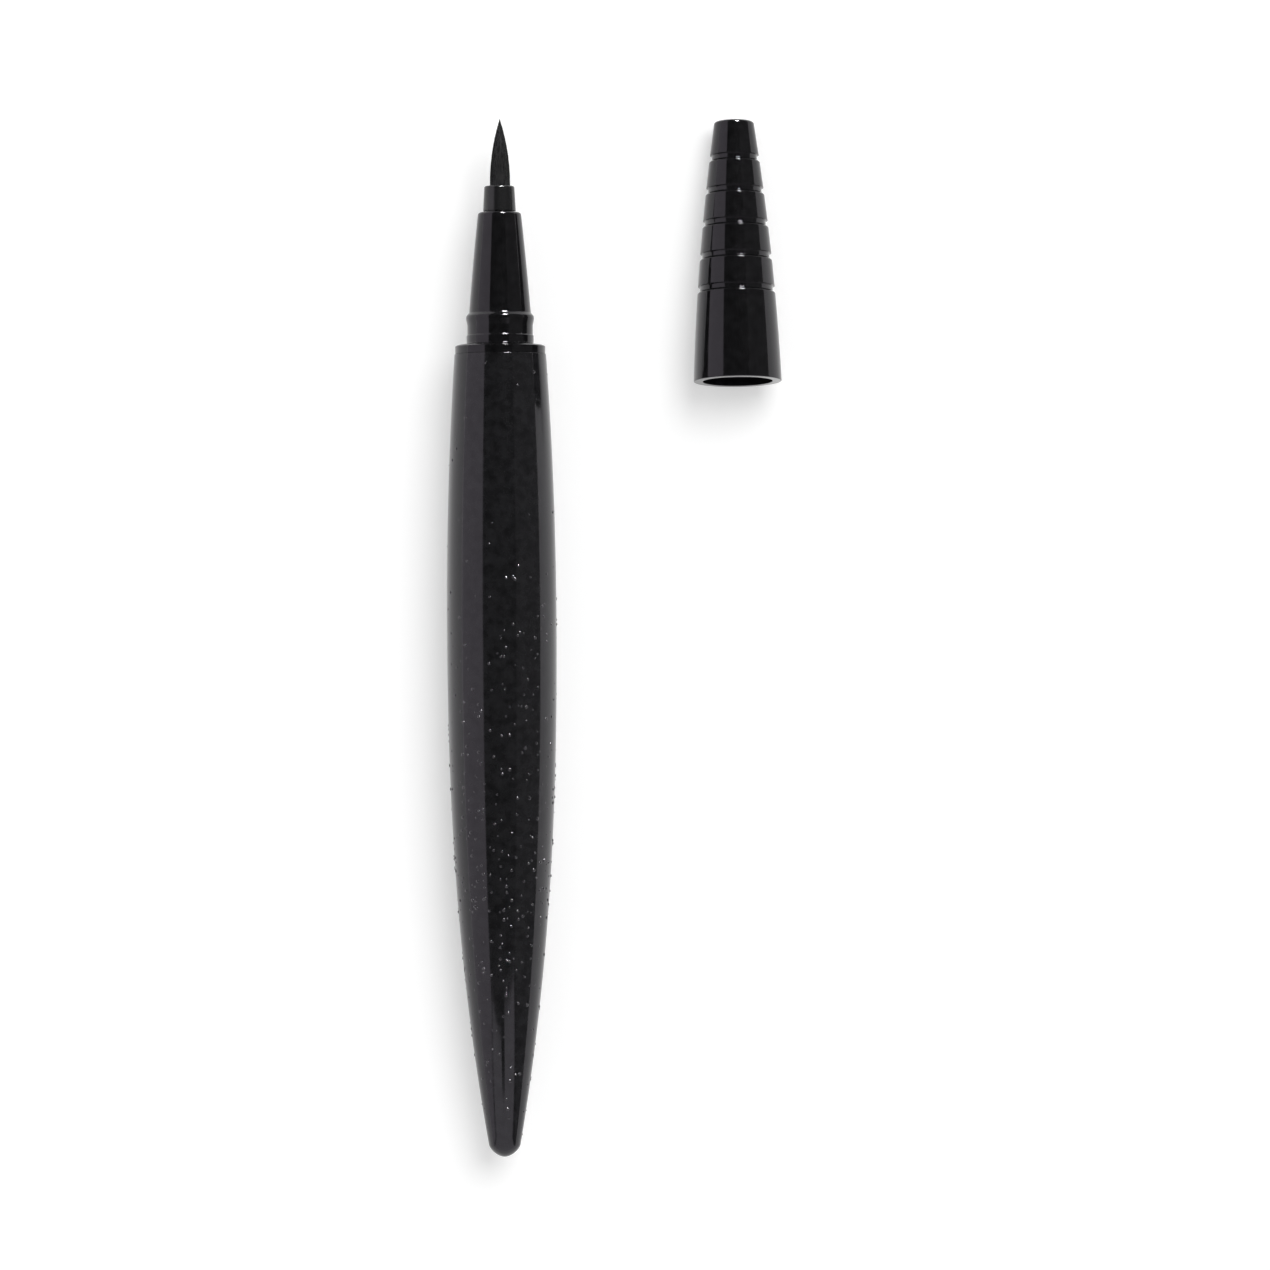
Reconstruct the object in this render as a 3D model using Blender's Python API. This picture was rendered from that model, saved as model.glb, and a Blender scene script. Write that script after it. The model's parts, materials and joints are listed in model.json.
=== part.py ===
"""Liquid eyeliner pen with a brush tip, lying level, with its cap taken off beside it.

Each piece is turned round the pen's axis or the cap's axis. Heights along the pen count from the
tail end towards the brush, and heights along the cap count from its mouth towards its top.
Lengths are in metres.
"""

import math

import bmesh
import bpy

# Turning
SHELL_SIDES = 32
INNER_SIDES = 24
SEAL_SIDES = 8
BALL_SIDES = 16

# Clearances
FIT_GAP = 0.0002
SEAM_GAP = 0.00015

# Barrel
BARREL_LENGTH = 0.1027
BARREL_FRONT_RADIUS = 0.00588
BARREL_SWELL = 0.00115
BARREL_TAIL_RADIUS = 0.00208
BARREL_BELLY_SHARE = 0.669
BARREL_REAR_POWER = 2.35
BARREL_WALL = 0.00099
BARREL_FRONT_EDGE = 0.00006
BARREL_FRONT_POINTS = 6
BARREL_REAR_POINTS = 12
BELLY_LAND_REAR = 0.0085
BELLY_LAND_FRONT = 0.0035
TAIL_NOSE_LENGTH = 0.00186
TAIL_NOSE_POWER = 1.7
TAIL_NOSE_POINTS = 5
TAIL_SOLID_LENGTH = 0.016
BORE_TAPER_POINTS = 4

# Front section
FLANGE_THICKNESS = 0.00125
FLANGE_STEP = 0.00014
FLANGE_EDGE = 0.00045
FOOT_LENGTH = 0.00075
FOOT_LIP = 0.0001
FLANGE_SHELF = 0.00153
NECK_LENGTH = 0.0018
RIDGE_HEIGHT = 0.00012
RIDGE_LENGTH = 0.0011
CONE_STEP = 0.0002
CONE_LENGTH = 0.0131
CONE_BULGE_SHARE = 0.16
CONE_EDGE = 0.0004
CONE_POINTS = 5
SECTION_WALL = 0.00077
SKIRT_LENGTH = 0.0147
NOSE_WALL = 0.00066
NOSE_LAND_LENGTH = 0.004

# Brush, its collar and its retainer
BRUSH_RADIUS = 0.00128
BRUSH_LENGTH = 0.00838
BRUSH_HIDDEN_LENGTH = 0.0034
BRUSH_POINT_POWER = 1.9
BRUSH_BACKING_THICKNESS = 0.0008
STRAND_COUNT = 300
STRAND_SIDES = 3
STRAND_RADIUS = 0.000042
STRAND_ROOT_DEPTH = 0.0002
STRAND_CLOSE_SHARE = 0.3
STRAND_LEVEL_SHARES = (1.0, 0.55, 0.25, 0.1)
COLLAR_LENGTH = 0.00322
COLLAR_WALL = 0.00045
COLLAR_FLARE = 0.00018
COLLAR_STEM_WALL = 0.00042
COLLAR_EDGE_SHARE = 0.6
RETAINER_FLANGE_THICKNESS = 0.001
WICK_RADIUS = 0.00075

# Ink collector
COLLECTOR_CORE_WALL = 0.0009
COLLECTOR_FINS = 10
COLLECTOR_FIN_SHARE = 0.42
COLLECTOR_COMB_LENGTH = 0.0146

# Ink tank, its plugs, seal, cushion and ball
TANK_WALL = 0.0007
PLUG_FLANGE_THICKNESS = 0.0008
PLUG_DEPTH = 0.0052
PLUG_SPIGOT_LENGTH = 0.002
SEAL_THICKNESS = 0.0009
SEAL_SETBACK = 0.0016
END_PLUG_HEAD = 0.0012
END_PLUG_DEPTH = 0.0038
CUSHION_LENGTH = 0.006
CUSHION_WALL = 0.0019
BALL_RADIUS = 0.00175
BALL_FROM_PLUG = 0.006

# Cap
CAP_MOUTH_STEP = 0.00008
CAP_TOP_RADIUS = 0.00255
CAP_STRAIGHT_SHARE = 0.42
CAP_WALL = 0.0009
CAP_CLEARANCE = 0.00014
CAP_TOP_WALL = 0.00218
CAP_TOP_EDGE = 0.00045
CAP_MOUTH_EDGE = 0.00012
CAP_SLEEVE_LENGTH = 0.01173
CAP_TOP_RING_LENGTH = 0.00473
CAP_RINGS = 5
CAP_SLEEVE_POINTS = 4
CAP_BORE_POINTS = 4
GROOVE_DEPTH = 0.0003
GROOVE_WIDTH = 0.0009
GROOVE_PLACE_SHARES = (-0.62, -0.46, -0.3, 0.34, 0.42)
GROOVE_DEPTH_SHARES = (0.0, 0.3, 1.0, 1.0, 0.0)
SNAP_BITE = 0.00008
SNAP_BEAD_WIDTH = 0.0012
TIP_CLEARANCE = 0.0021
INNER_CAP_WALL = 0.0005
INNER_CAP_COVER = 0.0054
INNER_CAP_SEAL_WIDTH = 0.0009
INNER_CAP_SEAL_CLEARANCE = 0.00006
INNER_CAP_POINTS = 3

# How the cap lies beside the pen
CAP_SPACING = 0.03039
CAP_SETBACK = 0.00486
CAP_LEAN = math.radians(4.85)
CAP_TURN = math.radians(0.43)

# Places along the pen
SEAM = BARREL_LENGTH
FLANGE_REAR = SEAM + SEAM_GAP
SHOULDER = FLANGE_REAR + FLANGE_THICKNESS
FOOT_END = SHOULDER + FOOT_LENGTH
NECK_END = FOOT_END + NECK_LENGTH
CONE_REAR = NECK_END + RIDGE_LENGTH
CONE_FRONT = CONE_REAR + CONE_LENGTH
COLLAR_REAR = CONE_FRONT + SEAM_GAP
COLLAR_FRONT = COLLAR_REAR + COLLAR_LENGTH
BRUSH_TIP = COLLAR_FRONT + BRUSH_LENGTH
BACKING_FRONT = COLLAR_FRONT - BRUSH_HIDDEN_LENGTH
BACKING_REAR = BACKING_FRONT - BRUSH_BACKING_THICKNESS
RETAINER_FRONT = BACKING_REAR - FIT_GAP
LAND_REAR = CONE_FRONT - NOSE_LAND_LENGTH
RETAINER_SEAT = LAND_REAR - FIT_GAP
RETAINER_REAR = RETAINER_SEAT - RETAINER_FLANGE_THICKNESS
COLLECTOR_FRONT = RETAINER_REAR - FIT_GAP
SKIRT_REAR = SEAM - SKIRT_LENGTH
PLUG_FLANGE_FRONT = SKIRT_REAR - FIT_GAP
PLUG_FLANGE_REAR = PLUG_FLANGE_FRONT - PLUG_FLANGE_THICKNESS
TANK_FRONT = PLUG_FLANGE_REAR - FIT_GAP
PLUG_REAR = TANK_FRONT - PLUG_DEPTH
PLUG_SPIGOT_FRONT = PLUG_FLANGE_FRONT + PLUG_SPIGOT_LENGTH
COLLECTOR_REAR = PLUG_SPIGOT_FRONT + FIT_GAP
SEAL_PLACE = PLUG_REAR + SEAL_SETBACK
BELLY = BARREL_LENGTH * BARREL_BELLY_SHARE

# Radii
BARREL_BELLY_RADIUS = BARREL_FRONT_RADIUS + BARREL_SWELL
BORE_RADIUS = BARREL_FRONT_RADIUS - BARREL_WALL
FLANGE_RADIUS = BARREL_FRONT_RADIUS - FLANGE_STEP
NECK_RADIUS = FLANGE_RADIUS - FLANGE_SHELF
FOOT_RADIUS = NECK_RADIUS + FOOT_LIP
RIDGE_RADIUS = NECK_RADIUS + RIDGE_HEIGHT
CONE_REAR_RADIUS = NECK_RADIUS - CONE_STEP
SECTION_BORE_RADIUS = NECK_RADIUS - SECTION_WALL
SKIRT_RADIUS = BORE_RADIUS - FIT_GAP
TANK_RADIUS = BORE_RADIUS - FIT_GAP
TANK_BORE_RADIUS = TANK_RADIUS - TANK_WALL
PLUG_RADIUS = TANK_BORE_RADIUS - FIT_GAP
SPIGOT_RADIUS = SECTION_BORE_RADIUS - FIT_GAP
WICK_BORE_RADIUS = WICK_RADIUS + FIT_GAP
COLLECTOR_CORE_RADIUS = WICK_BORE_RADIUS + COLLECTOR_CORE_WALL
COLLAR_BORE_RADIUS = BRUSH_RADIUS + FIT_GAP
COLLAR_FRONT_RADIUS = COLLAR_BORE_RADIUS + COLLAR_WALL
COLLAR_REAR_RADIUS = COLLAR_FRONT_RADIUS + COLLAR_FLARE
COLLAR_STEM_RADIUS = COLLAR_BORE_RADIUS + COLLAR_STEM_WALL
NOSE_BORE_RADIUS = COLLAR_STEM_RADIUS + FIT_GAP
CONE_FRONT_RADIUS = NOSE_BORE_RADIUS + NOSE_WALL
SEAL_OUTER_RADIUS = TANK_BORE_RADIUS - FIT_GAP
SEAL_GROOVE_RADIUS = SEAL_OUTER_RADIUS - SEAL_THICKNESS - FIT_GAP

# Cap sizes that follow the pen's nose
CAP_MOUTH_RADIUS = FLANGE_RADIUS - CAP_MOUTH_STEP
CAP_BORE_RADIUS = RIDGE_RADIUS + CAP_CLEARANCE
SNAP_RADIUS = RIDGE_RADIUS - SNAP_BITE
SNAP_PLACE = FOOT_LENGTH + NECK_LENGTH / 2
NOSE_REACH = BRUSH_TIP - SHOULDER
INNER_CAP_CHAMBER_END = NOSE_REACH + TIP_CLEARANCE
INNER_CAP_END = INNER_CAP_CHAMBER_END + INNER_CAP_WALL
CAP_BORE_END = INNER_CAP_END + FIT_GAP
CAP_LENGTH = CAP_BORE_END + CAP_TOP_WALL
INNER_CAP_MOUTH = CONE_FRONT - SHOULDER - INNER_CAP_COVER
INNER_CAP_SEAL_PLACE = COLLAR_REAR - SHOULDER + INNER_CAP_SEAL_WIDTH
INNER_CAP_SEAL_RADIUS = COLLAR_REAR_RADIUS + INNER_CAP_SEAL_CLEARANCE
RING_PITCH = (CAP_LENGTH - CAP_SLEEVE_LENGTH - CAP_TOP_RING_LENGTH) / (CAP_RINGS - 1)

# Colours (linear) and finishes
GLOSS_BLACK = ((0.008, 0.008, 0.009), 0.1, 0.0)
SATIN_BLACK = ((0.014, 0.014, 0.016), 0.35, 0.0)
BRISTLE_BLACK = ((0.01, 0.01, 0.011), 0.45, 0.0)
NATURAL_PLASTIC = ((0.72, 0.72, 0.7), 0.45, 0.0)
WHITE_FIBRE = ((0.75, 0.74, 0.7), 0.9, 0.0)
GREY_RUBBER = ((0.1, 0.1, 0.1), 0.7, 0.0)
BRIGHT_STEEL = ((0.6, 0.6, 0.62), 0.2, 1.0)


def clear_scene():
    """Remove every object, so that only the pen is left in the file."""
    for item in list(bpy.data.objects):
        bpy.data.objects.remove(item, do_unlink=True)


def make_material(name, finish):
    """Plain Principled material from a colour, a roughness and a metallic value."""
    colour, roughness, metallic = finish
    material = bpy.data.materials.new(name)
    material.use_nodes = True
    shader = material.node_tree.nodes["Principled BSDF"]
    shader.inputs["Base Color"].default_value = (*colour, 1.0)
    shader.inputs["Roughness"].default_value = roughness
    shader.inputs["Metallic"].default_value = metallic
    material.diffuse_color = (*colour, 1.0)
    return material


def make_empty(name, parent=None):
    """Empty that carries pieces turned round one axis."""
    empty = bpy.data.objects.new(name, None)
    bpy.context.collection.objects.link(empty)
    empty.parent = parent
    return empty


def make_piece(name, shape, finish, parent):
    """Object of a finished bmesh, smooth but for its sharp edges, with its own material."""
    bmesh.ops.recalc_face_normals(shape, faces=shape.faces)
    mesh = bpy.data.meshes.new(name)
    shape.to_mesh(mesh)
    shape.free()
    mesh.shade_smooth()
    mesh.set_sharp_from_angle(angle=math.radians(30))
    mesh.materials.append(make_material(name, finish))
    piece = bpy.data.objects.new(name, mesh)
    bpy.context.collection.objects.link(piece)
    piece.parent = parent
    return piece


def ring_of_vertices(shape, height, radius, sides):
    """Vertices of one ring round local Z, or a single one on the axis."""
    if radius == 0:
        return [shape.verts.new((0, 0, height))]
    turns = [math.tau * side / sides for side in range(sides)]
    return [shape.verts.new((radius * math.cos(t), radius * math.sin(t), height)) for t in turns]


def turned(outline, sides):
    """Solid of an outline of (height, radius) points turned round local Z.

    An outline that starts and ends on the axis makes a full body, and any other one is closed
    on itself and makes a ring or a tube.
    """
    shape = bmesh.new()
    rings = [ring_of_vertices(shape, height, radius, sides) for height, radius in outline]
    pairs = list(zip(rings, rings[1:]))
    if len(rings[0]) > 1:
        pairs.append((rings[-1], rings[0]))
    for near, far in pairs:
        for side in range(sides):
            after = side + 1
            corners = [near[side % len(near)], near[after % len(near)]]
            corners += [far[after % len(far)], far[side % len(far)]]
            shape.faces.new(list(dict.fromkeys(corners)))
    return shape


def tube(rear, front, outer, inner):
    """Outline of a plain tube between two heights."""
    return [(rear, inner), (rear, outer), (front, outer), (front, inner)]


def spread(start, end, count):
    """Evenly spaced values from start to end, both included."""
    return [start + (end - start) * step / (count - 1) for step in range(count)]


def quarter_round(height, radius, across, along, power, count):
    """Points of a rounded corner that leaves a side at (height, radius) and ends across it.

    The corner runs along the axis by `along` and towards the axis by `across`.
    """
    points = []
    for turn in spread(0.0, math.pi / 2, count):
        step_along = math.sin(turn) ** (2 / power)
        step_across = math.cos(turn) ** (2 / power) if turn < math.pi / 2 else 0.0
        points.append((height + along * step_along, radius - across * (1 - step_across)))
    return points


def barrel_rear_radius(height):
    """Outer radius of the barrel between its tail and its belly."""
    share = (BELLY - height) / (BELLY - TAIL_NOSE_LENGTH)
    return BARREL_BELLY_RADIUS - (BARREL_BELLY_RADIUS - BARREL_TAIL_RADIUS) * share ** BARREL_REAR_POWER


def barrel_front_radius(height):
    """Outer radius of the barrel between its belly and its front end."""
    share = (height - BELLY) / (SEAM - BELLY)
    return BARREL_BELLY_RADIUS - (BARREL_BELLY_RADIUS - BARREL_FRONT_RADIUS) * share ** 2


def bore_taper_place():
    """Height at which the barrel's bore starts to follow the narrowing tail."""
    drop = (BARREL_BELLY_RADIUS - BARREL_FRONT_RADIUS) / (BARREL_BELLY_RADIUS - BARREL_TAIL_RADIUS)
    return BELLY - (BELLY - TAIL_NOSE_LENGTH) * drop ** (1 / BARREL_REAR_POWER)


def barrel_bore_radius(height):
    """Radius of the barrel's bore at a height."""
    if height >= bore_taper_place():
        return BORE_RADIUS
    return barrel_rear_radius(height) - BARREL_WALL


def barrel_outline():
    """Bulged shell with a rounded tail and a short straight land to lie on, bored from the front."""
    tail = quarter_round(TAIL_NOSE_LENGTH, BARREL_TAIL_RADIUS, BARREL_TAIL_RADIUS,
                         -TAIL_NOSE_LENGTH, TAIL_NOSE_POWER, TAIL_NOSE_POINTS)
    outline = list(reversed(tail))
    land_rear = BELLY - BELLY_LAND_REAR
    land_front = BELLY + BELLY_LAND_FRONT
    for height in spread(TAIL_NOSE_LENGTH, land_rear, BARREL_REAR_POINTS)[1:-1]:
        outline.append((height, barrel_rear_radius(height)))
    outline += [(land_rear, BARREL_BELLY_RADIUS), (land_front, BARREL_BELLY_RADIUS)]
    front = SEAM - BARREL_FRONT_EDGE
    for height in spread(land_front, front, BARREL_FRONT_POINTS)[1:]:
        outline.append((height, barrel_front_radius(height)))
    outline.append((SEAM, BARREL_FRONT_RADIUS - BARREL_FRONT_EDGE))
    outline.append((SEAM, BORE_RADIUS))
    for height in spread(bore_taper_place(), TAIL_SOLID_LENGTH, BORE_TAPER_POINTS):
        outline.append((height, barrel_bore_radius(height)))
    outline.append((TAIL_SOLID_LENGTH, 0))
    return outline


def cone_radius(height):
    """Outer radius of the section's slightly swollen cone."""
    share = (CONE_FRONT - height) / CONE_LENGTH
    rise = share * (1 + CONE_BULGE_SHARE) - CONE_BULGE_SHARE * share ** 2
    return CONE_FRONT_RADIUS + (CONE_REAR_RADIUS - CONE_FRONT_RADIUS) * rise


def cone_bore_radius(height):
    """Radius of the hollow inside the cone, behind the land that holds the collar."""
    return cone_radius(height) - SECTION_WALL


def ridge_outline(start, length, low_before, high, low_after):
    """Points of a half-round ridge that rises from one radius and falls to another."""
    third = length / 3
    return [(start, low_before), (start + third / 2, high), (start + length - third / 2, high),
            (start + length, low_after)]


def section_outline():
    """Skirt, flange, foot ring, neck, snap ridge and cone, with the bore through them."""
    outline = [(SKIRT_REAR, SECTION_BORE_RADIUS), (SKIRT_REAR, SKIRT_RADIUS)]
    outline += [(FLANGE_REAR, SKIRT_RADIUS), (FLANGE_REAR, FLANGE_RADIUS)]
    outline += quarter_round(SHOULDER - FLANGE_EDGE, FLANGE_RADIUS, FLANGE_EDGE, FLANGE_EDGE, 2, 4)
    outline += [(SHOULDER, FOOT_RADIUS), (FOOT_END - FOOT_LIP, FOOT_RADIUS), (FOOT_END, NECK_RADIUS)]
    outline += ridge_outline(NECK_END, RIDGE_LENGTH, NECK_RADIUS, RIDGE_RADIUS, CONE_REAR_RADIUS)
    for height in spread(CONE_REAR, CONE_FRONT - CONE_EDGE, CONE_POINTS)[1:-1]:
        outline.append((height, cone_radius(height)))
    edge = CONE_FRONT - CONE_EDGE
    outline += quarter_round(edge, cone_radius(edge), CONE_EDGE, CONE_EDGE, 2, 4)
    outline += [(CONE_FRONT, NOSE_BORE_RADIUS), (LAND_REAR, NOSE_BORE_RADIUS)]
    outline += [(LAND_REAR, cone_bore_radius(LAND_REAR)), (CONE_REAR, cone_bore_radius(CONE_REAR))]
    outline.append((NECK_END, SECTION_BORE_RADIUS))
    return outline


def collar_outline():
    """Collar in front of the cone, with the stem that plugs into it."""
    stem_rear = LAND_REAR
    edge = COLLAR_WALL * COLLAR_EDGE_SHARE
    outline = [(stem_rear, COLLAR_BORE_RADIUS), (stem_rear, COLLAR_STEM_RADIUS)]
    outline += [(COLLAR_REAR, COLLAR_STEM_RADIUS), (COLLAR_REAR, COLLAR_REAR_RADIUS)]
    outline += quarter_round(COLLAR_FRONT - edge, COLLAR_FRONT_RADIUS, edge, edge, 2, 4)
    outline.append((COLLAR_FRONT, COLLAR_BORE_RADIUS))
    return outline


def retainer_outline():
    """Flanged tube that holds the brush in its collar and guides the wick."""
    tube_radius = COLLAR_BORE_RADIUS - FIT_GAP
    flange_radius = cone_bore_radius(RETAINER_SEAT) - FIT_GAP
    outline = [(RETAINER_REAR, WICK_BORE_RADIUS), (RETAINER_REAR, flange_radius)]
    outline += [(RETAINER_SEAT, flange_radius), (RETAINER_SEAT, tube_radius)]
    outline += [(RETAINER_FRONT, tube_radius), (RETAINER_FRONT, WICK_BORE_RADIUS)]
    return outline


def wick_outline():
    """Fibre rod from the tank to the back of the brush."""
    rear = PLUG_REAR + FIT_GAP
    front = RETAINER_FRONT
    return [(rear, 0), (rear, WICK_RADIUS), (front, WICK_RADIUS), (front, 0)]


def collector_outline():
    """Comb of fins on a bored core, with a plain stub in front."""
    pitch = COLLECTOR_COMB_LENGTH / COLLECTOR_FINS
    fin = pitch * COLLECTOR_FIN_SHARE
    fin_radius = SECTION_BORE_RADIUS - FIT_GAP
    outline = [(COLLECTOR_REAR, WICK_BORE_RADIUS)]
    for number in range(COLLECTOR_FINS):
        start = COLLECTOR_REAR + pitch * number
        if number:
            outline.append((start, COLLECTOR_CORE_RADIUS))
        outline += [(start, fin_radius), (start + fin, fin_radius)]
        outline.append((start + fin, COLLECTOR_CORE_RADIUS))
    outline += [(COLLECTOR_FRONT, COLLECTOR_CORE_RADIUS), (COLLECTOR_FRONT, WICK_BORE_RADIUS)]
    return outline


def front_plug_outline():
    """Flanged plug between the tank and the section, with its seal groove."""
    groove_rear = SEAL_PLACE - SEAL_THICKNESS / 2 - FIT_GAP
    groove_front = SEAL_PLACE + SEAL_THICKNESS / 2 + FIT_GAP
    outline = [(PLUG_REAR, WICK_BORE_RADIUS), (PLUG_REAR, PLUG_RADIUS)]
    outline += [(groove_rear, PLUG_RADIUS), (groove_rear, SEAL_GROOVE_RADIUS)]
    outline += [(groove_front, SEAL_GROOVE_RADIUS), (groove_front, PLUG_RADIUS)]
    outline += [(PLUG_FLANGE_REAR, PLUG_RADIUS), (PLUG_FLANGE_REAR, TANK_RADIUS)]
    outline += [(PLUG_FLANGE_FRONT, TANK_RADIUS), (PLUG_FLANGE_FRONT, SPIGOT_RADIUS)]
    outline += [(PLUG_SPIGOT_FRONT, SPIGOT_RADIUS), (PLUG_SPIGOT_FRONT, WICK_BORE_RADIUS)]
    return outline


def seal_outline():
    """Round section of the seal ring in the plug's groove."""
    half = SEAL_THICKNESS / 2
    centre = SEAL_OUTER_RADIUS - half
    turns = [math.tau * side / SEAL_SIDES for side in range(SEAL_SIDES)]
    return [(SEAL_PLACE + half * math.cos(t), centre + half * math.sin(t)) for t in turns]


def cushion_outline():
    """Tapered ring that fills the narrowing bore behind the tank."""
    front = bore_taper_place()
    rear = front - CUSHION_LENGTH
    outer_front = barrel_bore_radius(front) - FIT_GAP
    outer_rear = barrel_bore_radius(rear) - FIT_GAP
    return [(rear, outer_rear - CUSHION_WALL), (rear, outer_rear), (front, outer_front),
            (front, outer_front - CUSHION_WALL)]


def tank_rear():
    """Height of the tank's rear end, past the cushion and the head of the end plug."""
    return bore_taper_place() + FIT_GAP + END_PLUG_HEAD + FIT_GAP


def end_plug_outline():
    """Plug with a flat head that closes the tank's rear end."""
    head_rear = bore_taper_place() + FIT_GAP
    head_front = head_rear + END_PLUG_HEAD
    nose = tank_rear() + END_PLUG_DEPTH
    return [(head_rear, 0), (head_rear, TANK_RADIUS), (head_front, TANK_RADIUS),
            (head_front, PLUG_RADIUS), (nose, PLUG_RADIUS), (nose, 0)]


def strand_closeness(share):
    """How far the bristles have drawn in at a share of the way back from the tip."""
    swell = 1 - (1 - share) ** BRUSH_POINT_POWER
    return max(math.sqrt(swell), STRAND_CLOSE_SHARE)


def drawn_in(share):
    """Closeness read along the straight runs between the strands' common levels."""
    levels = (*STRAND_LEVEL_SHARES, 0.0)
    for back, front in zip(levels, levels[1:]):
        if share >= front:
            mix = (share - front) / (back - front)
            return mix * strand_closeness(back) + (1 - mix) * strand_closeness(front)
    return strand_closeness(0.0)


def strand_end_share(radius_share):
    """Share of the brush's length, back from its tip, at which a strand meets the outline."""
    swell = min(radius_share ** 2, 1.0)
    return 1 - (1 - swell) ** (1 / BRUSH_POINT_POWER)


def add_strand(shape, number):
    """One pointed bristle: rings at the common levels, then its own point."""
    reach = (BRUSH_RADIUS - STRAND_RADIUS) * math.sqrt((number + 0.5) / STRAND_COUNT)
    turn = number * math.pi * (3 - math.sqrt(5))
    end = strand_end_share(reach / BRUSH_RADIUS)
    levels = [(BACKING_FRONT - STRAND_ROOT_DEPTH, 1.0)]
    for share in STRAND_LEVEL_SHARES:
        if share > end:
            levels.append((BRUSH_TIP - BRUSH_LENGTH * share, drawn_in(share)))
    rings = []
    for height, close in levels:
        ring = []
        for side in range(STRAND_SIDES):
            lean = turn + math.tau * side / STRAND_SIDES
            x = close * (reach * math.cos(turn) + STRAND_RADIUS * math.cos(lean))
            y = close * (reach * math.sin(turn) + STRAND_RADIUS * math.sin(lean))
            ring.append(shape.verts.new((x, y, height)))
        rings.append(ring)
    close = drawn_in(end)
    tip_height = BRUSH_TIP - BRUSH_LENGTH * end
    tip = shape.verts.new((close * reach * math.cos(turn), close * reach * math.sin(turn), tip_height))
    shape.faces.new(list(reversed(rings[0])))
    for near, far in zip(rings, rings[1:]):
        for side in range(STRAND_SIDES):
            after = (side + 1) % STRAND_SIDES
            shape.faces.new([near[side], near[after], far[after], far[side]])
    for side in range(STRAND_SIDES):
        after = (side + 1) % STRAND_SIDES
        shape.faces.new([rings[-1][side], rings[-1][after], tip])


def make_brush(parent):
    """Bristles fused to the slice of backing that the retainer pushes on."""
    backing = [(BACKING_REAR, 0), (BACKING_REAR, BRUSH_RADIUS), (BACKING_FRONT, BRUSH_RADIUS),
               (BACKING_FRONT, 0)]
    brush = make_piece("brush_tip", turned(backing, INNER_SIDES), BRISTLE_BLACK, parent)
    bundle = bmesh.new()
    for number in range(STRAND_COUNT):
        add_strand(bundle, number)
    strands = make_piece("brush_strands_guide", bundle, BRISTLE_BLACK, parent)
    strands.hide_render = True
    strands.display_type = "WIRE"
    fuse = brush.modifiers.new("fuse_strands", "BOOLEAN")
    fuse.operation = "UNION"
    fuse.solver = "EXACT"
    fuse.object = strands
    return brush


def cap_radius(height):
    """Outer radius of the cap before its grooves are cut."""
    share = height / CAP_LENGTH
    fall = CAP_STRAIGHT_SHARE * share + (1 - CAP_STRAIGHT_SHARE) * share ** 2
    return CAP_MOUTH_RADIUS - (CAP_MOUTH_RADIUS - CAP_TOP_RADIUS) * fall


def cap_outer_points():
    """Sleeve, grooves, rings and top of the cap, from its mouth to its axis."""
    points = [(0, CAP_MOUTH_RADIUS - CAP_MOUTH_EDGE)]
    for height in spread(CAP_MOUTH_EDGE, CAP_SLEEVE_LENGTH - GROOVE_WIDTH, CAP_SLEEVE_POINTS):
        points.append((height, cap_radius(height)))
    for number in range(CAP_RINGS):
        centre = CAP_SLEEVE_LENGTH + RING_PITCH * number
        for place, depth in zip(GROOVE_PLACE_SHARES, GROOVE_DEPTH_SHARES):
            height = centre + GROOVE_WIDTH * place
            points.append((height, cap_radius(height) - GROOVE_DEPTH * depth))
        if number < CAP_RINGS - 1:
            middle = centre + RING_PITCH / 2
            points.append((middle, cap_radius(middle)))
    edge = CAP_LENGTH - CAP_TOP_EDGE
    points += quarter_round(edge, cap_radius(edge), CAP_TOP_EDGE, CAP_TOP_EDGE, 2, 3)
    points.append((CAP_LENGTH, 0))
    return points


def cap_bore_radius(height):
    """Radius of the cap's bore, which follows the outside where the cap narrows."""
    return min(CAP_BORE_RADIUS, cap_radius(height) - CAP_WALL)


def cap_shell_outline():
    """Cap shell with its snap bead inside the mouth."""
    half = SNAP_BEAD_WIDTH / 2
    outline = [(CAP_BORE_END, 0)]
    for height in spread(CAP_BORE_END, NECK_END - SHOULDER + SNAP_BEAD_WIDTH, CAP_BORE_POINTS):
        outline.append((height, cap_bore_radius(height)))
    outline += [(SNAP_PLACE + half, CAP_BORE_RADIUS), (SNAP_PLACE, SNAP_RADIUS)]
    outline += [(SNAP_PLACE - half, CAP_BORE_RADIUS), (0, CAP_BORE_RADIUS)]
    return outline + cap_outer_points()


def inner_cap_outline():
    """Liner cup in the cap, with a lip that closes round the pen's collar."""
    def outer(height):
        return cap_bore_radius(height) - FIT_GAP

    def inner(height):
        return outer(height) - INNER_CAP_WALL

    seal_rear = INNER_CAP_SEAL_PLACE - INNER_CAP_SEAL_WIDTH / 2
    seal_front = INNER_CAP_SEAL_PLACE + INNER_CAP_SEAL_WIDTH / 2
    outline = [(INNER_CAP_CHAMBER_END, 0), (INNER_CAP_CHAMBER_END, inner(INNER_CAP_CHAMBER_END))]
    outline += [(seal_front, inner(seal_front)), (seal_front, INNER_CAP_SEAL_RADIUS)]
    outline += [(seal_rear, INNER_CAP_SEAL_RADIUS), (seal_rear, inner(seal_rear))]
    outline.append((INNER_CAP_MOUTH, inner(INNER_CAP_MOUTH)))
    for height in spread(INNER_CAP_MOUTH, INNER_CAP_END, INNER_CAP_POINTS):
        outline.append((height, outer(height)))
    outline.append((INNER_CAP_END, 0))
    return outline


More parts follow.
